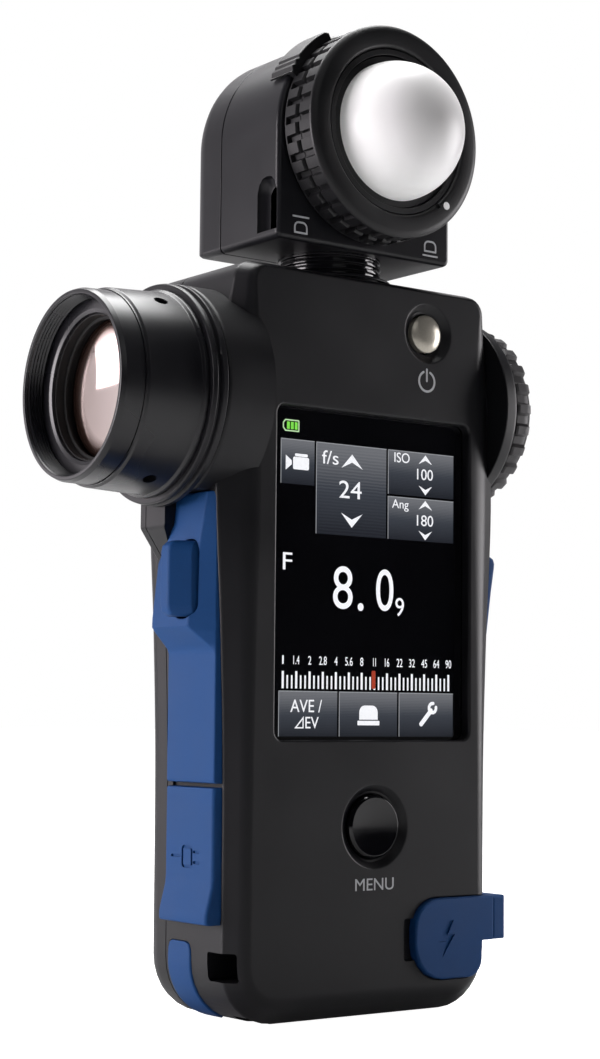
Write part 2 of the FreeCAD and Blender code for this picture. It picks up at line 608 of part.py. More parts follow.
def neck_post():
    """Hollow swivel post with three grip grooves where it shows."""
    points = [(124.6, 6.4), (124.6, NECK_R)]
    for i in range(3):
        z = TOP_Z + 0.9 + 1.3 * i
        points += [(z, NECK_R), (z + 0.2, NECK_R - 0.4), (z + 0.6, NECK_R - 0.4), (z + 0.8, NECK_R)]
    points += [(NECK_TOP, NECK_R), (NECK_TOP, 6.4)]
    return turned(points, vec(0, 0, 0), vec(0, 0, 1))


def neck_retainer():
    low, high, rim = 124.6, TOP_Z - 4.5, NECK_R + 1.3
    return turned([(low, NECK_R), (low, rim), (high, rim), (high, NECK_R)],
                  vec(0, 0, 0), vec(0, 0, 1))


def head_block(inset):
    """Arched head: flat sides and base, half-round top, softened rear."""
    half = HEAD_HALF - inset
    front, back = HEAD_FRONT + inset, HEAD_BACK - inset
    low = HEAD_Z0 + inset
    arch = rod_y(0, DOME_Z - 0.3, half, front, back)
    block = fuse(arch, box(-half, half, front, back, low, DOME_Z - 0.3))
    plan = [(-half + 2, front), (half - 2, front), (half, front + 4), (half, back - 5)]
    plan += [(half - 1.4, back - 1.4), (half - 5, back), (5 - half, back), (1.4 - half, back - 1.4)]
    plan += [(-half, back - 5), (-half, front + 4)]
    wire = Part.makePolygon([vec(x, y, low - 1) for x, y in plan + plan[:1]])
    prism = Part.Face(wire).extrude(vec(0, 0, 50))
    crown = turned([(front, 0), (front, half - 1.2), (front + 2, half + 0.02), (back - 5, half + 0.02),
                    (back - 1.4, half - 1.4), (back, half - 5), (back, 0)],
                   vec(0, 0, DOME_Z - 0.3), vec(0, 1, 0))
    crown = fuse(crown, box(-half, half, front, back, low - 1, DOME_Z - 0.3))
    return block.common(prism).common(crown)


def head_solid():
    return head_block(0).cut(head_block(WALL))


def head_housing():
    shell = head_solid().common(box(-30, 30, -30, HEAD_SEAM, 130, 190))
    floor = box(-16, 16, HEAD_FRONT + 1, HEAD_SEAM, HEAD_Z0, HEAD_Z0 + 3.0)
    shell = fuse(shell, floor.common(head_block(0.5)))
    scallops = []
    for sx in (-1, 1):
        groove = rod_z(sx * (HEAD_HALF + 0.8), -7.4, 2.6, HEAD_Z0 - 1, 147.6)
        scallops.append(fuse(groove, Part.makeSphere(2.6, vec(sx * (HEAD_HALF + 0.8), -7.4, 147.6))))
    cuts = scallops + [
        rod_y(0, DOME_Z, RING_R0, HEAD_FRONT - 1, HEAD_FRONT + WALL + 1),
        rod_z(0, 0, NECK_R, HEAD_Z0 - 1, HEAD_Z0 + 4),
    ]
    for tool in cuts:
        shell = shell.cut(tool)
    return largest(shell)


def head_rear_cover():
    cover = head_solid().common(box(-30, 30, HEAD_SEAM, 40, 130, 190))
    cover = cover.cut(rod_z(0, 0, NECK_R, HEAD_Z0 - 1, HEAD_Z0 + 4))
    for sx in (-1, 1):
        cover = cover.cut(rod_y(sx * 13.0, 141.5, 1.9, HEAD_BACK - 1.0, HEAD_BACK + 1))
        cover = cover.cut(rod_y(sx * 13.0, 141.5, SCREW_R, HEAD_BACK - 3, HEAD_BACK + 1))
    return largest(cover)


def head_screws():
    screws = []
    for sx in (-1, 1):
        x, z = sx * 13.0, 141.5
        screw = fuse(rod_y(x, z, SCREW_R, 7.5, HEAD_BACK - 1.0), rod_y(x, z, 1.8, HEAD_BACK - 1.0,
                                                                    HEAD_BACK - 0.2))
        screws.append(screw.cut(box(x - 1.3, x + 1.3, HEAD_BACK - 0.6, HEAD_BACK, z - 0.3, z + 0.3)))
    return Part.makeCompound(screws)


def guide_sleeve():
    """Fixed tube that the dome carrier slides in and the turning ring runs on."""
    points = [(-19.4, SLEEVE_R0), (-19.4, SLEEVE_R1), (-9.0, SLEEVE_R1), (-9.0, 15.8),
              (-7.6, 15.8), (-7.6, SLEEVE_R0)]
    return turned(points, vec(0, 0, DOME_Z), vec(0, 1, 0))


def toothed(ring, y0, y1, depth):
    """Cuts evenly spaced grip pockets round a ring's rim."""
    slot = box(-0.75, 0.75, y0, y1, RING_R1 - depth, RING_R1 + 1)
    slots = []
    for i in range(RING_TEETH):
        cut = slot.copy()
        cut.rotate(vec(0, 0, 0), vec(0, 1, 0), 360.0 / RING_TEETH * i)
        cut.translate(vec(0, 0, DOME_Z))
        slots.append(cut)
    return ring.cut(Part.makeCompound(slots))


def turning_ring():
    """Front ring: turned to raise or lower the dome."""
    points = [(RING_FRONT + 0.5, RING_R0), (RING_FRONT, RING_R0 + 0.6), (RING_FRONT, 18.0),
              (-19.2, RING_R1), (-15.9, RING_R1), (-15.6, 18.5), (RING_SPLIT, 18.5),
              (RING_SPLIT, RING_R0)]
    ring = turned(points, vec(0, 0, DOME_Z), vec(0, 1, 0)).cut(index_dot())
    return toothed(ring, -18.8, -16.2, 0.6)


def index_dot():
    a = math.radians(-46.0)
    return rod_y(16.5 * math.cos(a), DOME_Z + 16.5 * math.sin(a), 0.75, RING_FRONT - 0.05,
                 RING_FRONT + 0.5)


def grip_ring():
    """Rear ring with the thumb lug that stands over the head's arch."""
    points = [(RING_SPLIT, RING_R0), (RING_SPLIT, 18.5), (-14.9, RING_R1), (-11.9, RING_R1),
              (RING_BACK, 18.6), (RING_BACK, RING_R0)]
    ring = toothed(turned(points, vec(0, 0, DOME_Z), vec(0, 1, 0)), -14.5, -12.4, 0.6)
    lug = turned([(-12.6, 18.4), (-12.6, LUG_R1 - 0.3), (-12.2, LUG_R1), (-6.6, LUG_R1),
                  (-6.2, LUG_R0), (-11.5, LUG_R0), (-11.5, 18.4)],
                 vec(0, 0, DOME_Z), vec(0, 1, 0))
    return fuse(ring, lug.common(sector(118.0, 152.0)))


def sector(a0, a1):
    """Wedge about the dome axis between two angles measured from +X towards +Z."""
    corners = [(0, 0)]
    for i in range(5):
        a = math.radians(a0 + (a1 - a0) * i / 4.0)
        corners.append((40 * math.cos(a), 40 * math.sin(a)))
    return plate_xz([(x, z + DOME_Z) for x, z in corners], -25, 0)


def dome_carrier():
    """Sliding tube that holds the dome over the light sensor."""
    points = [(-18.9, DOME_R), (-18.9, 13.7), (-8.2, 13.7), (-8.2, 3.0), (-9.6, 3.0),
              (-9.6, DOME_R)]
    return turned(points, vec(0, 0, DOME_Z), vec(0, 1, 0))


def lumisphere():
    """Opal hemisphere with a short skirt."""
    dome = Part.makeSphere(DOME_R, vec(0, DOME_BASE, DOME_Z))
    dome = dome.common(box(-20, 20, DOME_BASE - 20, DOME_BASE, DOME_Z - 20, DOME_Z + 20))
    dome = fuse(dome, rod_y(0, DOME_Z, DOME_R, DOME_BASE, -15.0))
    hollow = Part.makeSphere(DOME_R - 1.3, vec(0, DOME_BASE, DOME_Z))
    return dome.cut(hollow).cut(rod_y(0, DOME_Z, DOME_R - 1.3, DOME_BASE, -14))


def light_sensor():
    disc = rod_y(0, DOME_Z, 8.0, -8.2, -7.0)
    return fuse(disc, rod_y(0, DOME_Z, 2.8, -9.4, -8.2))


PIECES = {
    "front_shell": front_shell,
    "rear_cover": rear_cover,
    "battery_cover": battery_cover,
    "battery_hinge_pin": battery_hinge_pin,
    "battery_tray": battery_tray,
    "battery_cell_left": lambda: battery_cell(-1),
    "battery_cell_right": lambda: battery_cell(1),
    "battery_contacts": battery_contacts,
    "display_glass": display_glass,
    "display_panel": display_panel,
    "main_board": main_board,
    "tripod_socket": tripod_socket,
    "case_screws": case_screws,
    "side_pad": side_pad,
    "corner_inlay": inlay_band,
    "measuring_button": measuring_button,
    "measuring_switch": lambda: box(-25.9, -23.6, -7.4, -1.4, 73.0, 79.0),
    "usb_cap": usb_cap,
    "usb_port": usb_port,
    "sync_cap": sync_cap,
    "sync_terminal": sync_terminal,
    "memory_button": memory_button,
    "memory_switch": lambda: box(24.6, 26.6, -6.9, -2.1, 71.0, 77.0),
    "power_button": power_button,
    "menu_button": menu_button,
    "front_switches": front_switches,
    "lens_flange": lens_flange,
    "lens_barrel": lens_barrel,
    "barrel_screws": barrel_screws,
    "front_ring": front_ring,
    "lens_cell": lens_cell,
    "objective_lens": objective_lens,
    "finder_tube": finder_tube,
    "beam_splitter": beam_splitter,
    "spot_sensor": spot_sensor,
    "eyepiece_housing": eyepiece_housing,
    "eyepiece_lens": eyepiece_lens,
    "diopter_ring": diopter_ring,
    "eyecup": eyecup,
    "neck_bushing": neck_bushing,
    "neck_post": neck_post,
    "neck_retainer": neck_retainer,
    "head_housing": head_housing,
    "head_rear_cover": head_rear_cover,
    "head_screws": head_screws,
    "guide_sleeve": guide_sleeve,
    "turning_ring": turning_ring,
    "index_dot": index_dot,
    "grip_ring": grip_ring,
    "dome_carrier": dome_carrier,
    "lumisphere": lumisphere,
    "light_sensor": light_sensor,
}

os.makedirs("parts", exist_ok=True)
for name, make in PIECES.items():
    shape = make()
    print(name, len(shape.Solids), round(shape.Volume, 1), shape.isValid())
    shape.exportStep("parts/" + name + ".step")
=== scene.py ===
"""Looks of the handheld exposure meter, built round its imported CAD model.

Pieces are modelled in millimetres in the CAD frame (X to the right, Y away from the
user, Z up) and scaled to metres when they are finished.
"""
import json
import math

import bmesh
import bpy
from mathutils import Matrix, Vector


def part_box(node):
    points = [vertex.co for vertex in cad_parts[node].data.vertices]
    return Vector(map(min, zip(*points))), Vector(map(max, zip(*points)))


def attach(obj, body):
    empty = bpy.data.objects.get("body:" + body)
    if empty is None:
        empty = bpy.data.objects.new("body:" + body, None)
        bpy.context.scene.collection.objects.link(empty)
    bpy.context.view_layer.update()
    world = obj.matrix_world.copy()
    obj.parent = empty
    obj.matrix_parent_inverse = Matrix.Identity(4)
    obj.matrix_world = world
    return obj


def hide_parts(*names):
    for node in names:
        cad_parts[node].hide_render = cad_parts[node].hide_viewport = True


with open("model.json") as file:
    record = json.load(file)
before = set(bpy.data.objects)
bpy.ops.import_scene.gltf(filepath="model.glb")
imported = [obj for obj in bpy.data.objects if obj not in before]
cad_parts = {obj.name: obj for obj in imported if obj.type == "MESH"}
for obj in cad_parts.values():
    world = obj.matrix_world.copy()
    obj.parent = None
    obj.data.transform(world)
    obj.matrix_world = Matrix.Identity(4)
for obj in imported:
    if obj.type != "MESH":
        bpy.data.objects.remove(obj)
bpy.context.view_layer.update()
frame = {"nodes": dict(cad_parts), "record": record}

MM = 0.001
ARC_STEPS = 5              # segments in a quarter turn of a small rounding
TURN_STEPS = 144           # segments round a turned part
ORIGIN = Vector((0, 0, 0))
X_AXIS, Y_AXIS, Z_AXIS = Vector((1, 0, 0)), Vector((0, 1, 0)), Vector((0, 0, 1))


def span(node):
    """Lowest and highest corner of a CAD node, in millimetres."""
    low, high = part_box(node)
    return low / MM, high / MM


def middle(node):
    low, high = span(node)
    return (low + high) / 2


def finder_axis(node, x=0.0):
    """Point of a finder piece's own axis at an X."""
    centre = middle(node)
    return Vector((x, centre.y, centre.z))


def quarter(steps):
    """Angles of a quarter turn."""
    return [math.pi / 2 * i / steps for i in range(steps + 1)]


# --- body dimensions ---
SHELL, DOOR = span("front_shell"), span("battery_cover")
FRONT = span("display_glass")[0].y - 2.2     # the glass is set back
SEAM, TOP, BACK = SHELL[1].y, SHELL[1].z, DOOR[1].y
HUMP = span("case_screws")[1].y + 0.6        # the heads are countersunk
WALL = 2.0
WAIST = ((0.0, 29.2), (12.0, 29.4), (45.0, 29.6), (68.0, 30.4), (92.0, 31.6), (112.0, 30.8),
         (124.0, 29.3), (131.5, 27.6))       # height and half width up the side
FACE_HALF = 26.6           # half width where the bevel meets the front face
BEVEL_W, BEVEL_D = 3.4, 3.1
FACE_SOFT, RIDGE_SOFT = 4.2, 1.0             # radii of the bevel's two edges
LOW_R, HIGH_R = 10.5, 4.0
TOP_EASE = 0.3             # the bevel is narrower along the top edge
REAR_R = 5.0
HUMP_Z, HUMP_RAMP = 84.0, 9.0
SEAM_GAP = 0.11
PIECE_GAP = 0.12           # round a rubber piece in its recess
PRINT = 0.03               # thickness of printed and lit marks
PAD_LEVEL = -31.2          # outer X of the rubber on the side, where it lies flat
SYNC_X, SYNC_Z = middle("sync_terminal").x, middle("sync_terminal").z
SET_SCREWS = (5, 125, 245)                   # degrees round the lens barrel
ACROSS = 8                 # segments along the base and the top of the body outline

# --- head dimensions ---
HEAD, HEAD_REAR = span("head_housing"), span("head_rear_cover")
DOME_Z = middle("guide_sleeve").z
DOME_AXIS = Vector((0, 0, DOME_Z))


# --- flat outlines ---
def rounded(points, closed=True, steps=ARC_STEPS):
    """Outline with rounded corners; a point is (a, b) or (a, b, radius)."""
    out = []
    for i, point in enumerate(points):
        at = Vector(point[:2])
        radius = point[2] if len(point) > 2 else 0
        if not radius or (not closed and i in (0, len(points) - 1)):
            out.append(tuple(at))
            continue
        back = Vector(points[i - 1][:2]) - at
        ahead = Vector(points[(i + 1) % len(points)][:2]) - at
        reach_max = 0.49 * min(back.length, ahead.length)
        back.normalize()
        ahead.normalize()
        half = back.angle(ahead) / 2
        reach = min(radius / math.tan(half), reach_max)
        centre = at + (back + ahead).normalized() * (reach / math.cos(half))
        start, end = at + back * reach - centre, at + ahead * reach - centre
        turn = start.angle(end)
        for k in range(steps + 1):
            t = k / steps
            mix = start * math.sin((1 - t) * turn) + end * math.sin(t * turn)
            out.append(tuple(centre + mix / math.sin(turn)))
    return out


def inset(points, distance):
    """Corners moved inwards by a distance, with their radii to match; counter-clockwise."""
    out = []
    for i, point in enumerate(points):
        here = Vector(point[:2])
        before = (here - Vector(points[i - 1][:2])).normalized()
        after = (Vector(points[(i + 1) % len(points)][:2]) - here).normalized()
        normal = Vector((-before.y - after.y, before.x + after.x)).normalized()
        moved = here + normal * distance / max(0.3, normal.dot((-after.y, after.x)))
        if len(point) < 3:
            out.append(tuple(moved))
            continue
        convex = before.cross(after) > 0
        out.append((*moved, max(point[2] + (-distance if convex else distance), 0.02)))
    return out


def rectangle(x0, x1, z0, z1, radius):
    return [(x0, z0, radius), (x1, z0, radius), (x1, z1, radius), (x0, z1, radius)]


def edge_levels(start, end, start_r, end_r, steps=ARC_STEPS):
    """Depth and inset pairs of a slab whose two faces have rounded rims."""
    near = [(start + start_r * (1 - math.cos(a)), start_r * (1 - math.sin(a)))
            for a in quarter(steps)]
    far = [(end - end_r * (1 - math.cos(a)), end_r * (1 - math.sin(a))) for a in quarter(steps)]
    return near + far[::-1]


def mouth_levels(face, end, soft):
    """The same for a cutter: its mouth flares out so that the cut has a soft rim."""
    lip = [(face + soft * (1 - math.cos(a)), -soft * (1 - math.sin(a))) for a in quarter(ARC_STEPS)]
    return [(face - 1.5, -soft), *lip, (end, 0)]


# --- solids ---
def solid(verts, faces):
    """Closed mesh object, in millimetres, with its faces turned outwards."""
    mesh = bpy.data.meshes.new("solid")
    mesh.from_pydata(verts, [], faces)
    work = bmesh.new()
    work.from_mesh(mesh)
    bmesh.ops.remove_doubles(work, verts=work.verts, dist=1e-5)
    loose = [edge for edge in work.edges if not edge.link_faces]
    bmesh.ops.delete(work, geom=loose, context="EDGES")
    bmesh.ops.recalc_face_normals(work, faces=work.faces)
    work.to_mesh(mesh)
    work.free()
    obj = bpy.data.objects.new("solid", mesh)
    bpy.context.scene.collection.objects.link(obj)
    return obj


def bands(rows, count, total):
    """Quads between neighbouring loops of equally many points."""
    starts = [(i * count, (i + 1) % total * count) for i in range(rows)]
    return [(a + k, a + (k + 1) % count, b + (k + 1) % count, b + k)
            for a, b in starts for k in range(count)]


def loft(loops, wrap=False):
    """Solid through closed loops of equally many points, capped unless it wraps round."""
    count = len(loops[0])
    verts = [point for loop in loops for point in loop]
    if wrap:
        return solid(verts, bands(len(loops), count, len(loops)))
    caps = [tuple(range(count)), tuple(range(len(verts) - count, len(verts)))]
    return solid(verts, bands(len(loops) - 1, count, len(loops)) + caps)


def facing_front(u, v, w):
    return u, w, v


def facing_left(u, v, w):
    return w, u, v


def slab(points, levels, place=facing_front, steps=ARC_STEPS):
    """Solid between depths; each level is a depth and an inset of the outline."""
    return loft([[place(u, v, w) for u, v in rounded(inset(points, d), steps=steps)]
                 for w, d in levels])


def turned(profile, centre, axis, steps=TURN_STEPS, relief=None):
    """Solid of revolution of (along, radius) points; relief gives a radius at an angle."""
    e1 = Vector((0, 1, 0)) if abs(axis.x) > 0.5 else Vector((1, 0, 0))
    e2 = axis.cross(e1).normalized()
    loops = []
    for i in range(steps):
        angle = math.tau * i / steps
        out = e1 * math.cos(angle) + e2 * math.sin(angle)
        radii = [relief(a, r, angle) if relief else r for a, r in profile]
        loops.append([centre + axis * a + out * r for (a, _), r in zip(profile, radii)])
    return loft(loops, wrap=True)


def rod(start, end, radius, centre, axis, steps=96):
    return turned([(start, 0), (end, 0), (end, radius), (start, radius)], centre, axis, steps)


def stacked(rows, section, steps=4):
    """Solid through level sections; section gives the corners, in Y and X, at a height."""
    return loft([[(x, y, z) for y, x in rounded(section(z, value), steps=steps)]
                 for z, value in rows])


def ellipsoid(centre, radii, steps=32):
    profile = [(radii[2] * math.cos(math.pi * i / steps), math.sin(math.pi * i / steps))
               for i in range(steps + 1)]
    ball = turned(profile, Vector((0, 0, 0)), Vector((0, 0, 1)), 2 * steps)
    ball.data.transform(Matrix.Translation(centre) @ Matrix.Diagonal((radii[0], radii[1], 1, 1)))
    return ball


def stroke(points, width, near, far, place=facing_front):
    """Line with round ends through 2-D points, for engraving and marks."""
    half, count = width / 2, len(points)
    left, right = [], []
    for i, point in enumerate(points):
        here = Vector(point)
        before = here - Vector(points[i - 1]) if i else Vector(points[1]) - here
        after = Vector(points[i + 1]) - here if i < count - 1 else before
        before.normalize()
        after.normalize()
        normal = Vector((-before.y - after.y, before.x + after.x)).normalized()
        shift = normal * half / max(0.4, normal.dot((-after.y, after.x)))
        left.append(here + shift)
        right.append(here - shift)
    outline = list(right)
    for centre, start in ((Vector(points[-1]), right[-1]), (Vector(points[0]), left[0])):
        arm = (start - centre).normalized() * half
        outline += [centre + Matrix.Rotation(math.pi * k / 8, 2) @ arm for k in range(1, 8)]
        if len(outline) < 2 * count:
            outline += left[::-1]
    return loft([[place(u, v, w) for u, v in outline] for w in (near, far)])


def rim(points, width, near, far, place=facing_front):
    """Closed line of a width just inside an outline."""
    outer, inner = rounded(points), rounded(inset(points, width))
    return loft([[place(u, v, w) for u, v in line]
                 for line, w in ((outer, near), (outer, far), (inner, far), (inner, near))],
                wrap=True)


def block(x0, x1, y0, y1, z0, z1, radius=0.3):
    """Box with its edges along Y rounded and its two faces softened."""
    return slab(rectangle(x0, x1, z0, z1, radius), edge_levels(y0, y1, radius / 2, radius / 2, 2),
                steps=3)


def combine(target, tool, how="DIFFERENCE"):
    """Boolean of two solids; the tool is used up."""
    change = target.modifiers.new("change", "BOOLEAN")
    change.object, change.operation, change.solver = tool, how, "EXACT"
    bpy.context.view_layer.update()
    seen = target.evaluated_get(bpy.context.evaluated_depsgraph_get())
    made = bpy.data.meshes.new_from_object(seen)
    target.modifiers.clear()
    target.data = made
    bpy.data.objects.remove(tool)
    return target


def cut(target, *tools):
    for tool in tools:
        combine(target, tool)
    return target


def joined(*parts):
    """One object from several that don't meet."""
    work = bmesh.new()
    for part in parts:
        work.from_mesh(part.data)
    mesh = bpy.data.meshes.new("joined")
    work.to_mesh(mesh)
    work.free()
    for part in parts[1:]:
        bpy.data.objects.remove(part)
    parts[0].data = mesh
    return parts[0]


def settle(obj, name, material, body, slot, nodes=(), sharp=32.0):
    """Scales a finished solid to metres, shades it and hands it to its body."""
    obj.data.transform(Matrix.Scale(MM, 4))
    obj.name = obj.data.name = name
    obj.data.materials.clear()
    obj.data.materials.append(material)
    obj.data.shade_smooth()
    obj.data.set_sharp_from_angle(angle=math.radians(sharp))
    normals = obj.modifiers.new("normals", "WEIGHTED_NORMAL")
    normals.keep_sharp = True
    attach(obj, body)
    if nodes:
        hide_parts(*nodes)
    return obj


# --- materials ---
GLOSS_DRIFT = 0.05         # how far roughness wanders over a piece
GLASS_ROUGH = 0.08


def new_material(name):
    material = bpy.data.materials.new(name)
    material.use_nodes = True
    tree = material.node_tree
    return material, tree, tree.nodes["Principled BSDF"]


def fill(tree, node, inputs):
    """Sets sockets of a node, each to a constant or to the output that feeds it."""
    for key, value in inputs.items():
        if isinstance(value, bpy.types.NodeSocket):
            tree.links.new(value, node.inputs[key])
        else:
            node.inputs[key].default_value = value


def add(tree, kind, out, inputs, **settings):
    """One output of a new shader node."""
    node = tree.nodes.new("ShaderNode" + kind)
    for name, value in settings.items():
        setattr(node, name, value)
    fill(tree, node, inputs)
    return node.outputs[out]


def noise(tree, size, detail=2.0, rough=0.5):
    """Noise in the part's own space with features of a size in millimetres."""
    return add(tree, "TexNoise", "Fac", {
        "Scale": 1.0 / (size * MM), "Detail": detail, "Roughness": rough,
        "Vector": add(tree, "TexCoord", "Object", {})})


def ranged(tree, value, source, target):
    """Maps one range of values to another."""
    return add(tree, "MapRange", "Result", {
        "Value": value, "From Min": source[0], "From Max": source[1], "To Min": target[0],
        "To Max": target[1]})


def ramp(tree, value, stops):
    node = tree.nodes.new("ShaderNodeValToRGB")
    elements = node.color_ramp.elements
    while len(elements) < len(stops):
        elements.new(0.5)
    for element, (position, colour) in zip(elements, stops):
        element.position = position
        element.color = (*colour, 1)
    tree.links.new(value, node.inputs["Fac"])
    return node.outputs["Color"]


def grained(name, colour, rough, size, depth, spread=0.12, metallic=0.0, specular=0.5):
    """Moulded, cast or turned surface: fine grain, and slow drifts of tone and gloss."""
    material, tree, shader = new_material(name)
    dark = tuple(c * (1 - spread) for c in colour)
    light = tuple(min(1.0, c * (1 + spread)) for c in colour)
    fine, slow = noise(tree, size, 3.0, 0.6), noise(tree, 18.0)
    half = add(tree, "Math", 0, {0: slow, 1: 0.5}, operation="MULTIPLY")
    blend = add(tree, "Math", 0, {0: fine, 1: 0.5, 2: half}, operation="MULTIPLY_ADD")
    bump = add(tree, "Bump", "Normal", {"Strength": 1.0, "Distance": depth * MM, "Height": fine})
    fill(tree, shader, {
        "Base Color": ramp(tree, blend, [(0.3, dark), (0.7, light)]),
        "Roughness": ranged(tree, slow, (0.3, 0.7), (rough - GLOSS_DRIFT, rough + GLOSS_DRIFT)),
        "Metallic": metallic, "Specular IOR Level": specular, "Normal": bump})
    return material


def glowing(name, colour, strength):
    """Lit display element: its colour wavers slightly, as pixels do."""
    material, tree, shader = new_material(name)
    dim = tuple(c * 0.86 for c in colour)
    fill(tree, shader, {
        "Emission Color": ramp(tree, noise(tree, 0.4), [(0.35, dim), (0.65, colour)]),
        "Base Color": (*(c * 0.2 for c in colour), 1), "Emission Strength": strength,
        "Roughness": GLASS_ROUGH})
    return material


def tile_material():
    """Key drawn on the display: bright at its top, fading down in fine lines."""
    material, tree, shader = new_material("display_tile")
    place = add(tree, "TexCoord", "Generated", {})
    height = add(tree, "SeparateXYZ", "Z", {"Vector": place})
    lines = add(tree, "TexWave", "Fac", {"Scale": 9.0, "Distortion": 1.5, "Vector": place},
                bands_direction="Z")
    level = add(tree, "Math", 0, {0: lines, 1: 0.12, 2: height}, operation="MULTIPLY_ADD")
    tone = ramp(tree, level, [(0.05, (0.012, 0.014, 0.019)), (0.55, (0.040, 0.046, 0.058)),
                              (1.05, (0.150, 0.155, 0.170))])
    fill(tree, shader, {"Emission Color": tone, "Base Color": (0.01, 0.01, 0.012, 1),
                        "Emission Strength": 1.0, "Roughness": GLASS_ROUGH})
    return material


def by_distance(tree, node, centre, stops):
    """Colour by distance from a point of a round piece, in units of its radius."""
    low, high = span(node)
    place = add(tree, "TexCoord", "Object", {})
    gap = add(tree, "VectorMath", "Value", {0: place, 1: centre * MM}, operation="DISTANCE")
    radii = add(tree, "Math", 0, {0: gap, 1: 1 / ((high.z - low.z) / 2 * MM)}, operation="MULTIPLY")
    return ramp(tree, radii, stops)


def opal_material():
    """Opal dome: white, with painted shade greying it round its pole where the dark inside lies behind
    it, and a faint painted glow.
    """
    material, tree, shader = new_material("opal")
    pole = Vector((0, span("lumisphere")[0].y, DOME_Z))
    # painted shade: the grey round the pole stands for the dark inside seen through the opal
    tone = by_distance(tree, "lumisphere", pole, [
        (0.0, (0.50, 0.49, 0.49)), (0.35, (0.66, 0.65, 0.65)), (0.75, (0.86, 0.85, 0.85)),
        (1.0, (0.90, 0.90, 0.89))])
    fill(tree, shader, {
        # painted glow: a little emission lifts the dome's shading, though it is no lamp
        "Base Color": tone, "Emission Color": tone, "Emission Strength": 0.12,
        "Roughness": 0.32, "Specular IOR Level": 0.3, "Subsurface Weight": 0.25,
        "Subsurface Radius": (0.004, 0.004, 0.004), "Subsurface Scale": 1.0})
    return material


def lens_material():
    """Objective glass: a painted pinkish reflection in its middle, darkening to a brown rim."""
    material, tree, shader = new_material("objective_painted_reflection")
    front = finder_axis("objective_lens", span("objective_lens")[0].x)
    # painted reflection: the pale pink middle of the ramp stands in for a reflection on the glass
    tone = by_distance(tree, "objective_lens", front, [
        (0.0, (0.95, 0.80, 0.76)), (0.72, (0.92, 0.76, 0.71)), (0.86, (0.16, 0.09, 0.07)),
        (1.0, (0.05, 0.03, 0.025))])
    fill(tree, shader, {"Base Color": tone, "Metallic": 0.9, "Roughness": 0.05,
                        "Coat Weight": 1.0, "Coat Roughness": 0.02})
    return material


CASE = grained("case_plastic", (0.006, 0.006, 0.0075), 0.40, 0.20, 0.007, specular=0.3)
SMOOTH = grained("smooth_plastic", (0.008, 0.008, 0.010), 0.34, 0.5, 0.002, specular=0.3)
RING = grained("ring_plastic", (0.007, 0.007, 0.008), 0.42, 0.30, 0.016, specular=0.35)
ANODISED = grained("anodised", (0.006, 0.006, 0.008), 0.30, 0.12, 0.002)
BLUE = grained("blue_rubber", (0.003, 0.045, 0.160), 0.62, 0.20, 0.008, specular=0.25)
BLACK_RUBBER = grained("black_rubber", (0.016, 0.016, 0.018), 0.70, 0.20, 0.012)
OPAL = opal_material()
LENS = lens_material()
DIAL = grained("dial_grey", (0.035, 0.033, 0.035), 0.50, 0.25, 0.020)
EYE_GLASS = grained("eye_glass", (0.020, 0.018, 0.030), 0.06, 2.0, 0.0005, specular=1.0)
SCREEN = grained("screen_glass", (0.003, 0.003, 0.004), 0.07, 4.0, 0.0003)
GLOSS = grained("gloss_black", (0.003, 0.003, 0.004), 0.10, 3.0, 0.0005)
PEARL = grained("pearl", (0.50, 0.47, 0.40), 0.28, 0.30, 0.002, metallic=0.6)
PAINT = grained("print", (0.48, 0.49, 0.51), 0.50, 0.10, 0.002)
DOT = grained("dot_white", (0.85, 0.85, 0.85), 0.45, 0.20, 0.002)
DARK = grained("recess_black", (0.004, 0.004, 0.004), 0.80, 0.30, 0)
SCREW = grained("screw_steel", (0.09, 0.09, 0.10), 0.34, 0.15, 0.003, metallic=1.0)
STEEL = grained("steel", (0.55, 0.55, 0.56), 0.28, 0.15, 0.003, metallic=1.0)
BRASS = grained("brass", (0.60, 0.45, 0.20), 0.30, 0.15, 0.003, metallic=1.0)
BOARD = grained("board", (0.012, 0.11, 0.05), 0.45, 0.30, 0.010)
CELL = grained("cell_sleeve", (0.30, 0.31, 0.34), 0.30, 3.0, 0.002)
PANEL = grained("panel", (0.22, 0.23, 0.25), 0.45, 0.30, 0.004)
WHITE_LIT = glowing("lit_white", (0.95, 0.96, 1.0), 0.95)
GREEN_LIT = glowing("lit_green", (0.25, 0.85, 0.10), 0.8)
RED_LIT = glowing("lit_red", (0.45, 0.06, 0.03), 0.8)
GREY_LIT = glowing("lit_grey", (0.30, 0.31, 0.33), 0.9)
PALE_LIT = glowing("lit_pale", (0.6, 0.9, 0.5), 0.8)
TILE = tile_material()


# --- camera, light and floor ---
SOFTBOXES = (              # name, place, size in metres, power and colour
    ("side_box", (-720, 230, 170), 0.42, 6.5, (1.0, 0.94, 0.98)),
    ("low_side_box", (-460, 620, 60), 0.30, 0.6, (1.0, 0.93, 0.98)),
    ("right_box", (640, -200, 150), 0.36, 2.6, (1.0, 0.97, 0.99)),
    ("top_box", (60, 160, 680), 0.50, 7.5, (1.0, 1.0, 1.0)),
    ("front_fill", (-160, -640, 520), 0.40, 0.3, (1.0, 1.0, 1.0)),
)


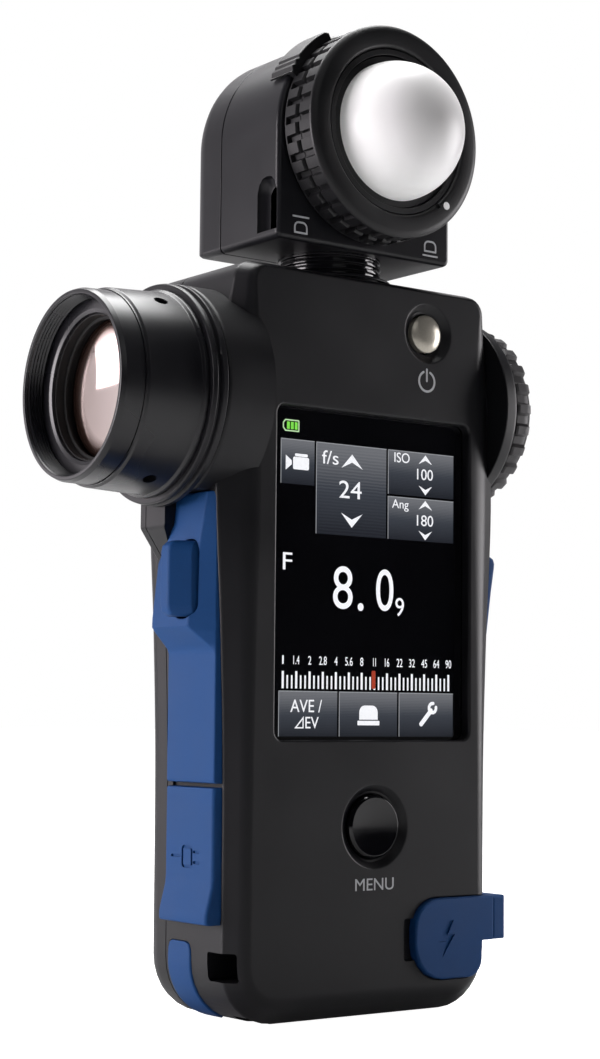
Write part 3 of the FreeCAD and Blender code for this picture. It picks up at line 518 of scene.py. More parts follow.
def studio():
    """Camera, soft lights and the pale floor."""
    scene = bpy.context.scene
    camera = bpy.data.objects.new("camera", bpy.data.cameras.new("camera"))
    scene.collection.objects.link(camera)
    camera.data.sensor_width, camera.data.lens = 36.0, 71.07
    camera.data.clip_start = 0.01
    yaw, pitch, roll = 0.646, 0.089, 0.009
    ahead = Vector((math.sin(yaw) * math.cos(pitch), math.cos(yaw) * math.cos(pitch),
                    math.sin(pitch)))
    level = Vector((math.cos(yaw), -math.sin(yaw), 0))
    upright = level.cross(ahead)
    right = level * math.cos(roll) + upright * math.sin(roll)
    up = upright * math.cos(roll) - level * math.sin(roll)
    turn = Matrix((right, up, -ahead)).transposed().to_4x4()
    camera.matrix_world = Matrix.Translation(Vector((-233.83, -301.95, 52.43)) * MM) @ turn
    scene.camera = camera
    scene.view_settings.view_transform = "Standard"
    surroundings(scene)
    target = Vector((0, 0, 85)) * MM
    for name, place, size, power, colour in SOFTBOXES:
        light = bpy.data.lights.new(name, "AREA")
        light.shape, light.size, light.energy, light.color = "SQUARE", size, power, colour
        lamp = bpy.data.objects.new(name, light)
        lamp.location = Vector(place) * MM
        lamp.rotation_euler = (target - lamp.location).to_track_quat("-Z", "Y").to_euler()
        scene.collection.objects.link(lamp)

    bpy.ops.mesh.primitive_plane_add(size=12.0, location=(0, 0, -0.0004))
    floor = bpy.context.object
    floor.name = "floor"
    pale = grained("floor", (0.60, 0.60, 0.60), 0.7, 2.0, 0.004, 0.0)
    tree = pale.node_tree
    seen = add(tree, "LightPath", "Is Camera Ray", {})
    fill(tree, tree.nodes["Principled BSDF"], {
        "Emission Color": (1, 1, 1, 1),
        "Emission Strength": ranged(tree, seen, (0.0, 1.0), (0.04, 1.0))})
    floor.data.materials.append(pale)


def surroundings(scene):
    """White studio to the eye; what it lights with fades from its back to its front."""
    world = bpy.data.worlds.new("studio")
    world.use_nodes = True
    scene.world = world
    tree = world.node_tree
    place = add(tree, "TexCoord", "Generated", {})
    depth = ranged(tree, add(tree, "SeparateXYZ", "Y", {"Vector": place}), (-0.2, 1.0), (0.0, 1.0))
    tone = ramp(tree, depth, [(0.0, (0.006, 0.006, 0.008)), (0.35, (0.05, 0.05, 0.055)),
                              (1.0, (0.75, 0.72, 0.75))])
    seen = tree.nodes["Background"]
    seen.inputs["Color"].default_value = (1.0, 1.0, 1.0, 1)
    mix = add(tree, "MixShader", 0, {
        "Fac": add(tree, "LightPath", "Is Camera Ray", {}),
        1: add(tree, "Background", 0, {"Color": tone}), 2: seen.outputs[0]})
    fill(tree, tree.nodes["World Output"], {"Surface": mix})


# --- body ---
def station_slope(i):
    before, after = WAIST[max(i - 1, 0)], WAIST[min(i + 1, len(WAIST) - 1)]
    return (after[1] - before[1]) / (after[0] - before[0])


def half_width(z):
    """Half the body's width at a height: a smooth curve through the stations."""
    z = min(max(z, WAIST[0][0]), WAIST[-1][0])
    i = max(k for k in range(len(WAIST) - 1) if WAIST[k][0] <= z)
    (z0, w0), (z1, w1) = WAIST[i], WAIST[i + 1]
    rise = z1 - z0
    t = (z - z0) / rise
    return ((2 * t ** 3 - 3 * t ** 2 + 1) * w0 + (3 * t ** 2 - 2 * t ** 3) * w1
            + (t ** 3 - 2 * t ** 2 + t) * rise * station_slope(i)
            + (t ** 3 - t ** 2) * rise * station_slope(i + 1))


def body_side(depth, ease, bevel):
    """Right half of the body outline, from the base up, pulled in by a depth. On the
    bevel the pull grows with the width, so that the face keeps nearly parallel sides."""
    low, high = depth, TOP - ease * depth
    low_r, high_r = max(LOW_R - depth, 2.0), max(HIGH_R - ease * depth, 1.0)

    def wide(z):
        width = half_width(z)
        return width - depth * ((width - FACE_HALF) / BEVEL_W if bevel else 1.0)

    side = [(wide(low + low_r) - low_r * (1 - math.sin(a)), low + low_r * (1 - math.cos(a)))
            for a in quarter(8)]
    rows = 26
    for k in range(1, rows):
        z = low + low_r + (high - high_r - low - low_r) * k / rows
        side.append((wide(z), z))
    side += [(wide(high - high_r) - high_r * (1 - math.cos(a)), high - high_r * (1 - math.sin(a)))
             for a in quarter(6)]
    return side


def body_loop(depth, back_of, ease=TOP_EASE, bevel=True):
    """Closed loop of the body; back_of gives its Y at a height."""
    side = body_side(depth, ease, bevel)
    steps = [2 * i / ACROSS - 1 for i in range(1, ACROSS)]
    ring = [(side[0][0] * t, side[0][1]) for t in steps]
    ring += side
    ring += [(-side[-1][0] * t, side[-1][1]) for t in steps]
    ring += [(-x, z) for x, z in reversed(side)]
    return [(x, back_of(z), z) for x, z in ring]


def back_plane(z):
    t = min(max((z - HUMP_Z) / HUMP_RAMP, 0), 1)
    return BACK + (HUMP - BACK) * t * t * (3 - 2 * t)


def body_solid(wall):
    """Whole body, or its cavity when wall is the thickness of the shell."""
    front = FRONT + wall
    profile = rounded([(front, 9.0), (front, BEVEL_W, FACE_SOFT), (front + BEVEL_D, 0, RIDGE_SOFT),
                       (SEAM, 0)], closed=False, steps=8)[1:]
    ease = 1.0 if wall else TOP_EASE
    loops = [body_loop(depth + wall, lambda z, y=y: y, ease, not wall) for y, depth in profile]
    rear_r = REAR_R - wall
    for a in quarter(8):
        lift = wall + rear_r * (1 - math.sin(a))
        loops.append(body_loop(wall + rear_r * (1 - math.cos(a)),
                               lambda z, lift=lift: back_plane(z) - lift, 1.0, False))
    count = len(loops[0])
    verts = [point for loop in loops for point in loop]
    faces = [tuple(range(count))] + bands(len(loops) - 1, count, len(loops))
    faces += rear_grid(verts, count)
    return solid(verts, faces)


def rear_grid(verts, count):
    """Closes the last loop with rows that join its left and right sides."""
    first = len(verts) - count
    across = ACROSS - 1
    tall = (count - 2 * across) // 2
    base = list(range(first, first + across))
    right = list(range(first + across, first + across + tall))
    top = list(range(first + across + tall, first + 2 * across + tall))
    left = list(range(first + 2 * across + tall, first + count))[::-1]
    rows = [[left[0], *base, right[0]]]
    for i in range(1, tall - 1):
        (x0, y0, z0), (x1, _, _) = verts[left[i]], verts[right[i]]
        row = [left[i]]
        for k in range(1, ACROSS):
            verts.append((x0 + (x1 - x0) * k / ACROSS, y0, z0))
            row.append(len(verts) - 1)
        rows.append(row + [right[i]])
    rows.append([left[-1], *top[::-1], right[-1]])
    return [(low[k], low[k + 1], high[k + 1], high[k])
            for low, high in zip(rows, rows[1:]) for k in range(ACROSS)]


def finder_bosses(wall):
    """Boss behind the lens flange, the web under it and, outside only, the eyepiece boss."""
    lens, eye = span("lens_flange"), span("diopter_ring")
    lens_z = middle("lens_flange").z
    x_lens, r_lens = SHELL[0].x + wall, (lens[1].z - lens[0].z) / 2 - wall
    x_eye, r_eye = eye[0].x - 0.7, (eye[1].z - eye[0].z) / 2 + 1.1
    left = turned(rounded([(-25, 0), (x_lens, 0), (x_lens, r_lens, 0.8), (-25, r_lens)]),
                  finder_axis("lens_flange"), X_AXIS, 96)
    outline = [(-26, lens_z), (x_lens, lens_z), (x_lens, 85.1, 1.5),
               (-29.6 + wall, 77.6 + wall), (-26, 76.5 + wall)]
    web = slab(outline, edge_levels(-1.0 + wall, 9.2 - wall, 0.3, 0.7))
    if wall:
        return left, web
    right = turned(rounded([(24, 0), (x_eye, 0), (x_eye, r_eye, 1.2), (29.2, r_eye + 0.3, 0.2),
                            (29.2, 12.0), (24, 12.0)]), finder_axis("diopter_ring"), X_AXIS, 96)
    return left, web, right


def web_flank():
    """Room behind the top of the pad that the web fills."""
    outline = [(5.4, 77.5), (8.0, 77.5), (8.0, 92.0), (1.0, 92.0), (1.0, 85.5)]
    return loft([[(x, y, z) for y, z in outline] for x in (-42, -27)])


def body_shell():
    """Hollow body with its bosses, before the seam parts it."""
    shell = body_solid(0.0)
    for boss in finder_bosses(0.0):
        combine(shell, boss, "UNION")
    hollow = body_solid(WALL)
    for boss in finder_bosses(WALL):
        combine(hollow, boss, "UNION")
    return combine(shell, hollow)


def big_box(y0, y1):
    return plain_box(-70, 70, y0, y1, -5, 150)


def shared_cutters():
    """Room for the lens, the eyepiece and the neck, in both halves of the case."""
    bushing = span("neck_bushing")
    return [rod(-40, -24, 14.0, finder_axis("lens_flange"), X_AXIS),
            rod(23, 40, 13.0, finder_axis("diopter_ring"), X_AXIS),
            rod(TOP - 5, TOP + 1, (bushing[1] - bushing[0]).x / 2 - 0.9, ORIGIN, Z_AXIS,
                TURN_STEPS)]


def plain_box(x0, x1, y0, y1, z0, z1):
    return loft([[(x, y, z) for x, z in ((x0, z0), (x1, z0), (x1, z1), (x0, z1))]
                 for y in (y0, y1)])


def key_dish(node, mouth, floor, bore):
    """Soft-rimmed dip round a front key, with the key's bore."""
    centre = middle(node)
    profile = rounded([(-2, 0), (-2, mouth + 0.5), (0, mouth + 0.5), (0.0, mouth, 0.4),
                       (1.1, floor, 0.5), (1.2, bore, 0.2), (6.0, bore), (6.0, 0)])
    return turned(profile, Vector((centre.x, FRONT, centre.z)), Y_AXIS, 96)


def window_box():
    """Opening of the screen: the glass is larger, behind it."""
    low, high = span("display_glass")
    return low.x + 0.6, high.x - 0.6, low.z + 0.8, high.z - 0.8


def side_slot(low, high, gap, bottom, radius, x0, x1):
    """Straight slot in a side of the case round a piece's box."""
    outline = rectangle(low.y - gap, high.y + gap, low.z - bottom, high.z + gap, radius)
    return slab(outline, [(x0, 0), (x1, 0)], facing_left)


def opening(i):
    """Corners of one of the record's openings, in millimetres."""
    box = frame["record"]["physics"]["openings"][i]["box_m"]
    return [Vector(corner) / MM for corner in box]


def front_cutters():
    x0, x1, z0, z1 = window_box()
    pad, flap, key = span("side_pad"), span("usb_cap"), span("measuring_button")
    socket = span("tripod_socket")
    side_hole, base_hole = opening(0), opening(1)
    x_in = side_hole[1].x + 0.3
    channel = side_slot(pad[0], pad[1], PIECE_GAP, pad[0].z - flap[0].z + 0.15, 1.4, -40, pad[1].x)
    return [
        slab(rectangle(x0, x1, z0, z1, 1.6), mouth_levels(FRONT, FRONT + WALL + 1, 0.5)),
        key_dish("menu_button", 7.4, 6.2, 5.75),
        key_dish("power_button", 5.5, 4.3, 3.75),
        *shared_cutters(),
        combine(channel, web_flank()),
        plain_box(-30, -26, -7.3, -1.5, key[0].z - 0.4, key[1].z + 0.4),
        plain_box(-31, -26, -6.0, 4.0, 23.0, 33.0),
        side_slot(*span("memory_button"), PIECE_GAP, PIECE_GAP, 1.0, 26, 40),
        side_slot(*side_hole, 0.0, 0.0, 0.5, -34, x_in),
        plain_box(base_hole[0].x, x_in, FRONT + BEVEL_D, side_hole[1].y, -2, side_hole[1].z),
        slab(sync_outline(0.15), mouth_levels(FRONT, FRONT + 1.05, 0.2)),
        rod(0, 5, 5.0, Vector((SYNC_X, FRONT, SYNC_Z)), Y_AXIS, 64),
        plain_box(27.0, 34, FRONT - 2, FRONT + 6.2, 11.85, 20.15),
        slab(rectangle(8.0, SYNC_X, 9.3, 16.6, 0.4), mouth_levels(FRONT, FRONT + 1.05, 0.15)),
        rod(-1, 9, (socket[1] - socket[0]).x / 2, ORIGIN, Z_AXIS, 64),
        inlay_solid(span("corner_inlay"), PIECE_GAP),
    ]


def sync_outline(grow):
    """Cap over the sync socket: a soft square that runs out to the side at its top."""
    low, high = SYNC_X - 7.0, SYNC_X + 8.9
    return inset([(low, SYNC_Z - 7.4, 6.6), (high, SYNC_Z - 7.4, 6.8), (high + 0.1, SYNC_Z - 1.0, 0.3),
                  (28.6, SYNC_Z - 1.0, 0.3), (28.6, SYNC_Z + 7.0, 0.4), (low, SYNC_Z + 7.0, 5.2)],
                 -grow)


def case_pieces():
    shell = body_shell()
    rear = shell.copy()
    rear.data = shell.data.copy()
    bpy.context.scene.collection.objects.link(rear)
    cut(shell, big_box(SEAM - SEAM_GAP, 60))
    hole = opening(0)[1] + Vector((1, 1, 1)) * 1.3
    lining = plain_box(-34, hole.x, FRONT, hole.y, -1.0, hole.z)
    combine(lining, body_solid(0.4), "INTERSECT")
    combine(shell, lining, "UNION")
    cut(shell, *front_cutters())
    settle(shell, "front_case", CASE, "meter_body", "case_black", ["front_shell"])

    cut(rear, big_box(-60, SEAM + SEAM_GAP))
    door = plain_box(DOOR[0].x - 0.2, DOOR[1].x + 0.2, SEAM - 1, HUMP + 3, DOOR[0].z - 0.2,
                     DOOR[1].z + 0.25)
    thumb_dip = ellipsoid((0, BACK + 3.2, DOOR[1].z + 2.0), (6.5, 4.2, 5.5))
    sinks = [rod(y - 1.0, y + 4, 2.3, Vector((x, 0, z)), Y_AXIS, 48) for x, z, y in screw_places()]
    cut(rear, door, *shared_cutters(), thumb_dip, *sinks)
    settle(rear, "rear_case", CASE, "meter_body", "case_black", ["rear_cover"])


def screw_places():
    """Centre of each case screw, with the Y of its head."""
    low, high = span("case_screws")
    radius = 2.0
    left, right = low.x + radius, high.x - radius
    return [(-13.0, 6.0, BACK - 0.6), (13.0, 6.0, BACK - 0.6), (left, 42.0, BACK - 0.6),
            (right, 42.0, BACK - 0.6), (left + 0.6, high.z - radius, HUMP - 0.6),
            (right - 0.6, high.z - radius, HUMP - 0.6)]


def battery_door():
    low, high = DOOR
    door = slab(rectangle(low.x, high.x, low.z + 1.0, high.z, 0.8),
                edge_levels(high.y, high.y - 2.1, 0.5, 0.1))
    knuckle = turned(rounded([(low.x, 0), (high.x, 0), (high.x, 1.05, 0.2), (low.x, 1.05, 0.2)]),
                     finder_axis("battery_hinge_pin"), X_AXIS, 32)
    combine(door, knuckle, "UNION")
    for i in range(5):
        z = high.z - 4.0 - 1.7 * i
        cut(door, block(-7.5, 7.5, high.y - 0.5, high.y + 1.5, z, z + 0.8, 0.39))
    settle(door, "battery_door", CASE, "battery_door", "case_black", ["battery_cover"])


# --- left side rubber and key ---
def pad_top(z):
    """Outer X of the pad at a height: level, a short chamfer, then the sloping rest."""
    low, high = span("side_pad")
    foot, peak, end = 63.6, 67.6, -32.3
    if z < foot:
        return PAD_LEVEL
    if z < peak:
        return PAD_LEVEL + (low.x - PAD_LEVEL) * (z - foot) / (peak - foot)
    return low.x + (end - low.x) * (z - peak) / (high.z - peak)


def pad_section(z, edge):
    """Corners of the pad at a height: a facet along the front edge, soft corners."""
    low, high = span("side_pad")
    top = pad_top(z)
    facet = 0.6 + 0.75 * max(PAD_LEVEL - top, 0.05)
    return [(low.y, high.x), (low.y, PAD_LEVEL + 0.05 + edge, 0.5),
            (low.y + facet, top + edge, 0.9), (high.y, top + edge, 0.7), (high.y, high.x)]


def side_pad():
    low, high = span("side_pad")
    rows = [(low.z, 0.5), (low.z + 0.15, 0.15), (low.z + 0.5, 0.0)]
    rows += [(low.z + 1.5 + i * 4.0, 0.0) for i in range(5)]
    rows += [(62.6, 0), (63.2, -0.03), (63.9, -0.02), (64.6, 0), (66.4, 0), (67.1, 0.05),
             (67.6, 0.14), (68.2, 0.07), (69.2, 0)]
    rows += [(70.0 + i * 2.5, 0.0) for i in range(8)]
    rows += [(high.z - 0.6, 0.0), (high.z - 0.15, 0.2), (high.z, 0.6)]
    pad = stacked(rows, pad_section)
    key = span("measuring_button")
    pocket = rectangle(key[0].y - 0.6, key[1].y + 0.4, key[0].z - 0.4, key[1].z + 0.4, 2.4)
    cut(pad, slab(pocket, [(-42, 0), (-27, 0)], facing_left), web_flank())
    settle(pad, "thumb_pad", BLUE, "meter_body", "rubber_blue", ["side_pad"])


def measuring_key():
    low, high = span("measuring_button")

    def section(z, drop):
        near, far = low.y + drop / 2, high.y - drop / 2
        return [(near, -29.4), (near, low.x + 3.4 + drop, 0.6), (-4.6, low.x + drop, 0.9),
                (far, low.x + 0.15 + drop, 0.6), (far, -29.4)]

    rows = [(low.z, 1.3), (low.z + 0.25, 0.7), (low.z + 0.9, 0.2), (low.z + 2.0, 0.0),
            (high.z - 2.0, 0.0), (high.z - 0.9, 0.2), (high.z - 0.25, 0.8), (high.z, 1.5)]
    key = stacked(rows, section, ARC_STEPS)
    combine(key, plain_box(-30.0, high.x, -5.4, -3.4, 74.0, 78.0), "UNION")
    settle(key, "measuring_key", BLUE, "measuring_key", "rubber_blue", ["measuring_button"])


def arc_points(x, z, radius, start, end, steps=20):
    return [(x + radius * math.cos(math.radians(start + (end - start) * i / steps)),
             z + radius * math.sin(math.radians(start + (end - start) * i / steps)))
            for i in range(steps + 1)]


def port_flap():
    """Rubber flap over the data port, flared at its lower end, with a plug icon."""
    low, high = span("usb_cap")

    def section(z, x):
        return [(low.y, -29.05), (low.y, x, 0.7), (high.y, x, 0.7), (high.y, -29.05)]

    rows = [(low.z, low.x + 0.5), (low.z + 0.15, low.x + 0.15), (low.z + 0.6, low.x),
            (low.z + 1.6, low.x + 0.02), (low.z + 2.6, low.x + 0.25), (23.5, PAD_LEVEL - 0.1),
            (25.0, PAD_LEVEL), (30.0, PAD_LEVEL), (35.0, PAD_LEVEL), (high.z - 0.5, PAD_LEVEL),
            (high.z - 0.12, PAD_LEVEL + 0.12), (high.z, PAD_LEVEL + 0.5)]
    flap = stacked(rows, section)
    y, z = (low.y + high.y) / 2 + 0.2, 28.3
    depth = (0.5, PAD_LEVEL - 1.0, PAD_LEVEL + 0.35, facing_left)
    marks = [stroke([(y + 4.8, z), (y + 2.2, z)], *depth),
             rim(rectangle(y - 1.5, y + 1.8, z - 1.9, z + 1.9, 0.7), *depth)]
    marks += [stroke([(y - 1.9, z + dz), (y - 3.4, z + dz)], *depth) for dz in (0.9, -0.9)]
    cut(flap, *marks)
    combine(flap, plain_box(-29.3, -28.4, -2.4, 0.4, 24.5, 31.5), "UNION")
    settle(flap, "port_flap", BLUE, "port_flap", "rubber_blue", ["usb_cap"])


def inlay_solid(box, grow):
    """Band that follows the lower left corner, with rounded ends; grow makes its slot."""
    low, high = box
    centre_x, centre_z = LOW_R - half_width(LOW_R), LOW_R
    outer, inner = LOW_R + (1.5 if grow else 0.3), LOW_R - 1.6 - grow
    soft = 0.0 if grow else 0.5
    path = [(high.z + grow, 0, 1.3), (high.z - 0.3, 0, 0.55), (high.z - 1.2, 0, 0.1),
            (centre_z + 0.6, 0, 0.0)]
    path += [(centre_z, 73.0 * i / 14, max(0.0, (i - 12) * 0.35)) for i in range(15)]
    loops = []
    for z, degrees, narrow in path:
        a = math.radians(180 + degrees)
        out = Vector((math.cos(a), 0, math.sin(a)))
        y0, y1 = low.y - grow + narrow, high.y + grow - narrow
        ring = rounded([(y0, inner), (y0, outer, soft), (y1, outer, soft), (y1, inner)], steps=3)
        loops.append([Vector((centre_x, y, z)) + out * r for y, r in ring])
    return loft(loops)


def corner_inlay():
    settle(inlay_solid(span("corner_inlay"), 0.0), "corner_inlay_rubber", BLUE, "meter_body",
           "rubber_blue", ["corner_inlay"])


# --- right side ---
def sync_flap():
    low, high = span("sync_cap")
    face = low.y
    cap = slab(sync_outline(0.0), edge_levels(face, FRONT + 0.9, 0.45, 0.05))
    side = slab(rectangle(28.3, high.x, SYNC_Z - 1.0, SYNC_Z + 7.0, 0.3),
                edge_levels(face + 0.15, FRONT + 6.0, 0.7, 0.3))
    combine(cap, side, "UNION")
    x, z = SYNC_X + 0.3, SYNC_Z - 0.2
    bolt = [(x + 0.3, z + 3.2), (x - 1.9, z - 0.5), (x - 0.1, z - 0.5), (x - 1.1, z - 3.4),
            (x + 1.9, z + 0.7), (x + 0.2, z + 0.7), (x + 1.6, z + 3.2)]
    cut(cap, slab(bolt, [(face - 1, 0), (face + 0.3, 0)]))
    combine(cap, rod(0.6, 2.2, 2.4, Vector((SYNC_X, FRONT, SYNC_Z)), Y_AXIS, 32), "UNION")
    settle(cap, "sync_flap", BLUE, "sync_flap", "rubber_blue", ["sync_cap"])


def memory_key():
    low, high = span("memory_button")

    def section(z, x):
        return [(low.y, 29.1), (high.y, 29.1), (high.y, x, 0.8), (low.y, x, 0.8)]

    rows = [(low.z, 30.2), (low.z + 0.4, 30.8), (low.z + 1.2, 31.05), (76.0, 32.35),
            (high.z - 2.2, high.x - 0.1), (high.z - 1.2, high.x), (high.z - 0.4, high.x - 0.3),
            (high.z, high.x - 1.0)]
    key = stacked(rows, section)
    combine(key, plain_box(low.x, 29.6, -5.4, -3.4, 72.0, 76.0), "UNION")
    settle(key, "memory_key", BLUE, "memory_key", "rubber_blue", ["memory_button"])


# --- front keys and screen ---
def front_keys():
    """Dished menu key and domed power key, each with its stem."""
    for name, material, slot in (("menu", GLOSS, "gloss_black"), ("power", PEARL, "pearl")):
        low, high = span(name + "_button")
        radius, centre, top = (high.x - low.x) / 2, middle(name + "_button"), low.y
        if name == "menu":
            face = [(top + 0.35, 0), (top + 0.3, radius * 0.5), (top + 0.05, radius * 0.86),
                    (top, radius - 0.45, 0.15), (top + 0.5, radius, 0.3)]
        else:
            face = [(top, 0), (top + 0.1, radius * 0.45), (top + 0.36, radius * 0.78),
                    (top + 0.8, radius, 0.25)]
        stem = [(top + 2.6, radius), (top + 2.6, 1.3), (high.y, 1.3), (high.y, 0)]
        key = turned(rounded(face + stem), Vector((centre.x, 0, centre.z)), Y_AXIS, 96)
        settle(key, name + "_key", material, name + "_key", slot, [name + "_button"], sharp=45)


def screen_glass():
    low, high = span("display_glass")
    glass = slab(rectangle(low.x, high.x, low.z, high.z, 1.5), edge_levels(low.y, high.y, 0.1, 0.1))
    settle(glass, "screen_glass", SCREEN, "meter_body", "screen_glass", ["display_glass"])


TILES = {                  # X from the window's middle, and Z
    "tile_mode": (-19.9, -12.5, 92.9, 100.8), "tile_rate": (-12.1, 3.9, 84.5, 100.8),
    "tile_speed": (4.3, 20.0, 92.7, 100.8), "tile_angle": (4.3, 20.0, 84.5, 92.3),
    "tile_left": (-19.9, -7.0, 48.9, 56.8), "tile_middle": (-6.6, 6.7, 48.9, 56.8),
    "tile_right": (7.1, 20.0, 48.9, 56.8),
}
WORDS = [                  # text and its box: X0, Z0, X1, Z1
    ("24", -6.9, 91.2, -1.8, 94.3), ("100", 11.2, 95.8, 15.0, 97.8),
    ("180", 11.2, 87.3, 15.1, 89.3), ("ISO", 5.8, 98.6, 9.4, 100.4),
    ("Ang", 5.3, 89.7, 9.2, 91.8), ("f/s", -10.8, 97.0, -7.1, 99.4),
    ("F", -19.2, 77.8, -17.2, 80.8), ("8", -8.1, 71.4, -3.7, 79.0),
    (".", -2.5, 71.2, -1.2, 72.6), ("0", 1.7, 71.4, 5.7, 78.9), ("9", 6.2, 70.6, 8.2, 73.9),
    ("AVE /", -17.3, 53.1, -10.4, 55.3), ("EV", -14.0, 50.3, -11.1, 52.3),
]
STOPS = ("1", "1.4", "2", "2.8", "4", "5.6", "8", "11", "16", "22", "32", "45", "64", "90")
ARROWS = (                 # X, Z, size, and 1 for up
    (-4.0, 97.8, 2.4, 1), (-4.0, 87.3, 2.4, -1), (13.2, 99.5, 1.6, 1), (13.2, 93.9, 1.6, -1),
    (13.2, 91.1, 1.6, 1), (13.2, 85.6, 1.6, -1),
)


def text_solid(text, x0, z0, x1, z1, face):
    """Generic lettering as a thin solid that fills a box in X and Z."""
    curve = bpy.data.curves.new("text", "FONT")
    curve.body, curve.extrude = text, 0.5
    obj = bpy.data.objects.new("text", curve)
    bpy.context.scene.collection.objects.link(obj)
    bpy.context.view_layer.update()
    seen = obj.evaluated_get(bpy.context.evaluated_depsgraph_get())
    mesh = bpy.data.meshes.new_from_object(seen)
    bpy.data.objects.remove(obj)
    xs, ys = [v.co.x for v in mesh.vertices], [v.co.y for v in mesh.vertices]
    wide, tall = (x1 - x0) / (max(xs) - min(xs)), (z1 - z0) / (max(ys) - min(ys))
    for v in mesh.vertices:
        v.co = (x0 + (v.co.x - min(xs)) * wide, face - PRINT * (v.co.z + 0.5),
                z0 + (v.co.y - min(ys)) * tall)
    made = bpy.data.objects.new("text", mesh)
    bpy.context.scene.collection.objects.link(made)
    return made


def flat(outline, face):
    return slab(outline, [(face - PRINT, 0), (face, 0)])


def bar(x0, x1, z0, z1, radius, face):
    return flat(rectangle(x0, x1, z0, z1, radius), face)


def tiles(cx, lit, rim_face):
    """Keys drawn on the display, with a light line along their top and left edges."""
    rims = []
    for name, (a, b, c, d) in TILES.items():
        settle(bar(cx + a, cx + b, c, d, 0.1, lit), name, TILE, "meter_body", "screen_glass")
        rims.append(bar(cx + a, cx + b, d - 0.16, d, 0.05, rim_face))
        rims.append(bar(cx + a, cx + a + 0.14, c, d - 0.2, 0.05, rim_face))
    settle(joined(*rims), "tile_rims", GREY_LIT, "meter_body", "screen_glass")


def scale_words(pitch):
    """Numbers of the aperture scale, each with its box about its tick."""
    words = []
    for i, stop in enumerate(STOPS):
        wide = 0.55 * sum(0.45 if c in ".1" else 1.0 for c in stop) * 1.25
        at = -19.0 + pitch * i
        words.append((stop, at - wide / 2, 61.4, at + wide / 2, 62.9))
    return words


def screen_icons(cx, thin):
    """Camera, dome and wrench, drawn plainly, and the corner of the delta sign."""
    x, z = cx - 15.9, 96.8
    line = (thin - PRINT, thin)
    return [
        bar(x - 1.3, x + 2.2, z - 1.3, z + 0.9, 0.3, thin),
        bar(x - 0.9, x + 1.9, z + 1.0, z + 1.5, 0.2, thin),
        flat([(x - 2.9, z + 1.1), (x - 2.9, z - 1.5), (x - 1.6, z - 0.5), (x - 1.6, z + 0.2)], thin),
        flat([(cx - 2.0, 51.9), (cx + 2.2, 51.9), (cx + 2.2, 54.4, 2.0), (cx - 2.0, 54.4, 2.0)],
             thin),
        bar(cx - 2.4, cx + 2.6, 50.9, 51.7, 0.1, thin),
        stroke([(cx + 12.4, 51.2), (cx + 14.7, 53.6)], 0.9, *line),
        stroke(arc_points(cx + 15.1, 54.1, 0.85, 80, 370, 10), 0.6, *line),
        rim([(cx - 16.4, 50.3), (cx - 14.4, 50.3), (cx - 14.4, 52.4)], 0.22, *line),
    ]


def screen_picture():
    """Everything lit on the display, as thin layers on the glass."""
    lit = span("display_glass")[0].y
    thin = lit - 0.02
    x0, x1 = window_box()[:2]
    cx = (x0 + x1) / 2
    tiles(cx, lit, thin - 0.02)

    pitch = 37.9 / (len(STOPS) - 1)
    shapes = [text_solid(text, cx + a, b, cx + c, d, thin)
              for text, a, b, c, d in WORDS + scale_words(pitch)]
    for i in range(3 * (len(STOPS) - 1) + 1):
        x = cx - 19.0 + pitch * i / 3
        tall, wide = (59.5, 0.16) if i % 3 else (60.2, 0.22)
        shapes.append(bar(x - wide, x + wide, 57.2, tall, 0.05, thin))
    for x, z, size, way in ARROWS:
        tip = [(cx + x - size, z - way * size * 0.5), (cx + x, z + way * size * 0.55),
               (cx + x + size, z - way * size * 0.5), (cx + x, z - way * size * 0.05)]
        shapes.append(flat(tip if way < 0 else tip[::-1], thin))
    shapes += screen_icons(cx, thin)
    settle(joined(*shapes), "screen_readings", WHITE_LIT, "meter_body", "screen_glass", sharp=60)

    bars = [bar(cx - 18.6 + 0.85 * i, cx - 18.0 + 0.85 * i, 102.5, 103.8, 0.1, thin)
            for i in range(3)]
    settle(joined(*bars), "battery_bars", GREEN_LIT, "meter_body", "screen_glass")
    case = rim([(cx - 19.0, 102.1), (cx - 15.9, 102.1, 0.2), (cx - 15.9, 104.2, 0.2),
                (cx - 19.0, 104.2), (cx - 19.5, 103.6), (cx - 19.5, 102.7)],
               0.22, thin - PRINT, thin)
    settle(case, "battery_outline", PALE_LIT, "meter_body", "screen_glass")
    needle = bar(cx + 0.75, cx + 1.6, 57.4, 60.6, 0.2, thin - 0.03)
    settle(needle, "scale_needle", RED_LIT, "meter_body", "screen_glass")


def front_marks():
    """Generic marks: the menu key's label and the power symbol."""
    menu, power = middle("menu_button"), middle("power_button")
    x, z, line = power.x - 0.3, 113.7, (0.42, FRONT - PRINT, FRONT)
    label = text_solid("MENU", menu.x - 4.4, 22.0, menu.x + 4.3, 24.1, FRONT)
    ring = stroke(arc_points(x, z, 1.85, 115, 425, 24), *line)
    tick = stroke([(x, z + 0.1), (x, z + 2.2)], *line)
    settle(joined(label, ring, tick), "front_marks", PAINT, "meter_body", "mark_white", sharp=60)


# --- spot finder ---
def turned_x(node, points):
    return turned(rounded(points), finder_axis(node), X_AXIS)


def finder_piece(node, points, name, material, slot, sharp=32.0):
    """Turned piece that is fixed in the body, in place of its CAD node."""
    settle(turned_x(node, points), name, material, "meter_body", slot, [node], sharp)


